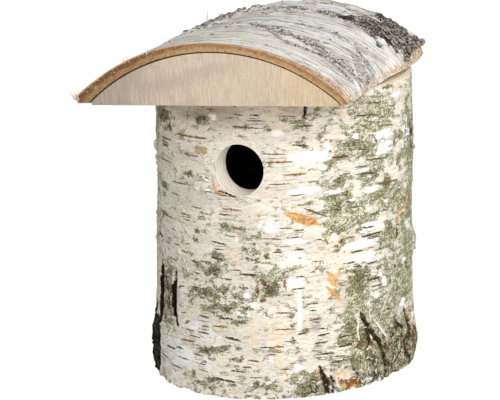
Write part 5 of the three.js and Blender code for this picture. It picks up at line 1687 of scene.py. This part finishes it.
def roof_wood_finish():
    """Sawn birch end: greyer to the left, warmer to the right, with fine upright saw lines and
    a few darker clouds."""
    f = Finish("nestbox_roof_wood", roughness=.8)
    saw = f.noise(2300, 5, (1, .1, .035), .7)
    mottle = f.noise(1300, 4, (1, .4, .5), .7)
    cloud = f.noise(24, 5, None, .6)
    across, height = f.part(0), f.part(2)
    f.start(across.smooth(-85, -10), (.645, .6, .54), (.865, .795, .705))
    f.lay(across.smooth(0, 75), (.89, .785, .65))
    f.lay(saw.smooth(.48, .62), (.62, .54, .44), .4)
    f.lay(saw.smooth(.48, .36), (.98, .92, .84), .4)
    f.lay(mottle.smooth(.52, .62), (.62, .54, .44), .25)
    slant = (height - across * .16 - 206).fray(cloud, 26)
    smudge = abs(slant).smooth(7, 1) * across.smooth(-60, -30) * across.smooth(30, -5)
    f.lay((smudge * .35).most(cloud.smooth(.5, .6) * .35), (.66, .6, .53))
    return f.done(normal=f.bump(saw + mottle, .2))


def scrap_finish(name, dark, light, scale=700, low=.35, high=.62):
    """Crumbs, curls and fibres: two tones in patches of the given scale."""
    f = Finish(name, roughness=.8)
    f.start(f.noise(scale, 4, None, .65).smooth(low, high), dark, light)
    return f.done()


def zinc_finish():
    """Zinc-plated steel of the fittings: cloudy plating, fine scratches and a few dull spots."""
    f = Finish("nestbox_zinc", metallic=1)
    cloud, scratch = f.noise(350, 4, None, .6), f.noise(1500, 3, (.08, 1, 1), .6)
    spot = f.noise(900, 5, None, .7).smooth(.6, .68)
    f.start(cloud.smooth(.35, .65), (.68, .69, .7), (.82, .82, .8))
    f.lay(scratch.smooth(.58, .66), (.93, .93, .92), .5)
    f.lay(spot, (.5, .47, .43), .6)
    return f.done(roughness=cloud * .35 + spot * .3 + .2, normal=f.bump(scratch, .03))


class BarkSettings(PropertyGroup):
    """Relief and colour of the bark."""

    relief: FloatProperty(name="Relief", description="Height of the bark's relief",
                          default=1, min=0, max=2, subtype="FACTOR")
    pale: FloatVectorProperty(name="Pale bark", description="Colour of the paper bark",
                              default=(.975, .945, .87), size=3, min=0, max=1, subtype="COLOR")


class LightSettings(PropertyGroup):
    """Light on the box."""

    sky: FloatProperty(name="Sky", description="Strength of the light from all round",
                       default=.52, min=0, max=5)
    lamp: FloatProperty(name="Lamp", description="Power of the lamp at the front right",
                        default=18, min=0, max=500, unit="POWER")


class NESTBOX_OT_trunk(Operator):
    """Builds the hollowed trunk and its bark"""

    bl_idname = "nestbox.trunk"
    bl_label = "Trunk"

    def execute(self, context):
        settings = context.scene.nestbox_bark
        for name, make in (("trunk_bark", make_trunk_bark), ("trunk_wood", make_trunk_wood)):
            piece = make(settings)
            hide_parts(name)
            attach(piece, "box")
        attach(make_trunk_scraps(settings), "box")
        return {"FINISHED"}


class NESTBOX_OT_roof(Operator):
    """Builds the roof slab and its bark"""

    bl_idname = "nestbox.roof"
    bl_label = "Roof"

    def execute(self, context):
        settings = context.scene.nestbox_bark
        for name, make in (("roof_bark", make_roof_bark), ("roof_wood", make_roof_wood)):
            piece = make(settings)
            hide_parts(name)
            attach(piece, "roof")
        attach(make_roof_scraps(settings), "roof")
        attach(make_roof_fibres(), "roof")
        return {"FINISHED"}


class NESTBOX_OT_fittings(Operator):
    """Builds the screws, and gives the floor, hinge and hanger their materials"""

    bl_idname = "nestbox.fittings"
    bl_label = "Fittings"

    def execute(self, context):
        zinc, wood = zinc_finish(), trunk_wood_finish()
        for piece, name, body in make_screws():
            finish_faces(piece, 35, zinc)
            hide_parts(name)
            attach(piece, body)
        kept = {"hinge_trunk_leaf": zinc, "hinge_roof_leaf": zinc, "hinge_pin": zinc,
                "hanger_plate": zinc, "floor_disc": wood}
        for name, finish in kept.items():
            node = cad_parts[name]
            node.data.materials.clear()
            node.data.materials.append(finish)
        return {"FINISHED"}


class NESTBOX_OT_stage(Operator):
    """Sets the camera, lights and floor"""

    bl_idname = "nestbox.stage"
    bl_label = "Stage"

    def execute(self, context):
        place_camera(context.scene)
        place_lights(context.scene, context.scene.nestbox_light)
        place_floor()
        return {"FINISHED"}


def place_camera(scene):
    """Camera fitted to the photo: aimed at the trunk's middle from a bearing, height and roll."""
    bearing, height, roll = radians(22.148), radians(13.045), radians(-3.811)
    target, distance, focal_pixels, image_width = (-.01713, 0, .10686), 1.2936, 1982.456, 500
    back = Vector((sin(bearing) * cos(height), -cos(bearing) * cos(height), sin(height)))
    right = Vector((cos(bearing), sin(bearing), 0))
    up = back.cross(right)
    across = right * cos(roll) + up * sin(roll)
    upward = up * cos(roll) - right * sin(roll)
    camera = bpy.data.objects.new("camera", bpy.data.cameras.new("camera"))
    turn = Matrix((across, upward, back)).transposed().to_4x4()
    turn.translation = Vector(target) + back * distance
    camera.matrix_world = turn
    camera.data.sensor_width = 36
    camera.data.lens = focal_pixels * camera.data.sensor_width / image_width
    scene.collection.objects.link(camera)
    scene.camera = camera
    scene.view_settings.view_transform = "Standard"


def place_lights(scene, settings):
    """A soft lamp at the front right and a plain bright sky, white where the camera sees it."""
    light = bpy.data.lights.new("lamp", "AREA")
    light.energy, light.size = settings.lamp, .9
    lamp = bpy.data.objects.new("lamp", light)
    place = Vector((1.1, -.95, .9))
    turn = (place - Vector((0, 0, .1))).to_track_quat("Z", "Y").to_matrix().to_4x4()
    turn.translation = place
    lamp.matrix_world = turn
    scene.collection.objects.link(lamp)
    scene.world = bpy.data.worlds.new("sky")
    scene.world.use_nodes = True
    nodes = Nodes(scene.world.node_tree)
    sky = nodes.tree.nodes["Background"].inputs
    nodes.feed(sky["Color"], (1, 1, 1, 1))
    nodes.feed(sky["Strength"], nodes.add("ShaderNodeMapRange", {}, {
        "Value": nodes.ray("Camera").most(nodes.ray("Transmission")),
        "To Min": settings.sky, "To Max": 1}))


def place_floor():
    """Wide pale floor just under the trunk, near white to the camera but still shadowed."""
    half, low = 6000, -.2
    floor = box_cutter("floor_plane", (-half, -half, low - 1), (half, half, low))
    f = Finish("stage_floor", roughness=1, specular=0, base_color=(.88, .88, .88, 1))
    glow = f.add("ShaderNodeEmission", {}, {"Strength": 1.08})
    both = f.add("ShaderNodeMixShader", {}, {
        0: f.ray("Camera") * .9, 1: Value(f, f.surface.outputs[0]), 2: glow})
    f.feed(f.tree.nodes["Material Output"].inputs["Surface"], both)
    floor.data.materials.append(f.material)


class NESTBOX_PT_panel(Panel):
    """Settings of the bark and the light, and the steps that build the nest box"""

    bl_label = "Nest Box"
    bl_idname = "NESTBOX_PT_panel"
    bl_space_type = "VIEW_3D"
    bl_region_type = "UI"
    bl_category = "Nest Box"

    def draw(self, context):
        for settings in (context.scene.nestbox_bark, context.scene.nestbox_light):
            for name in settings.__annotations__:
                self.layout.prop(settings, name)
        for step in STEPS:
            self.layout.operator(step.bl_idname)


STEPS = (NESTBOX_OT_trunk, NESTBOX_OT_roof, NESTBOX_OT_fittings, NESTBOX_OT_stage)
CLASSES = (BarkSettings, LightSettings, *STEPS, NESTBOX_PT_panel)


def register():
    """Registers the classes and gives the scene its settings."""
    for kind in CLASSES:
        bpy.utils.register_class(kind)
    bpy.types.Scene.nestbox_bark = PointerProperty(type=BarkSettings)
    bpy.types.Scene.nestbox_light = PointerProperty(type=LightSettings)


def unregister():
    """Takes the settings and the classes away again."""
    del bpy.types.Scene.nestbox_light
    del bpy.types.Scene.nestbox_bark
    for kind in reversed(CLASSES):
        bpy.utils.unregister_class(kind)


def main():
    """Builds everything."""
    register()
    bpy.ops.nestbox.trunk()
    bpy.ops.nestbox.roof()
    bpy.ops.nestbox.fittings()
    bpy.ops.nestbox.stage()


if __name__ == "__main__":
    main()
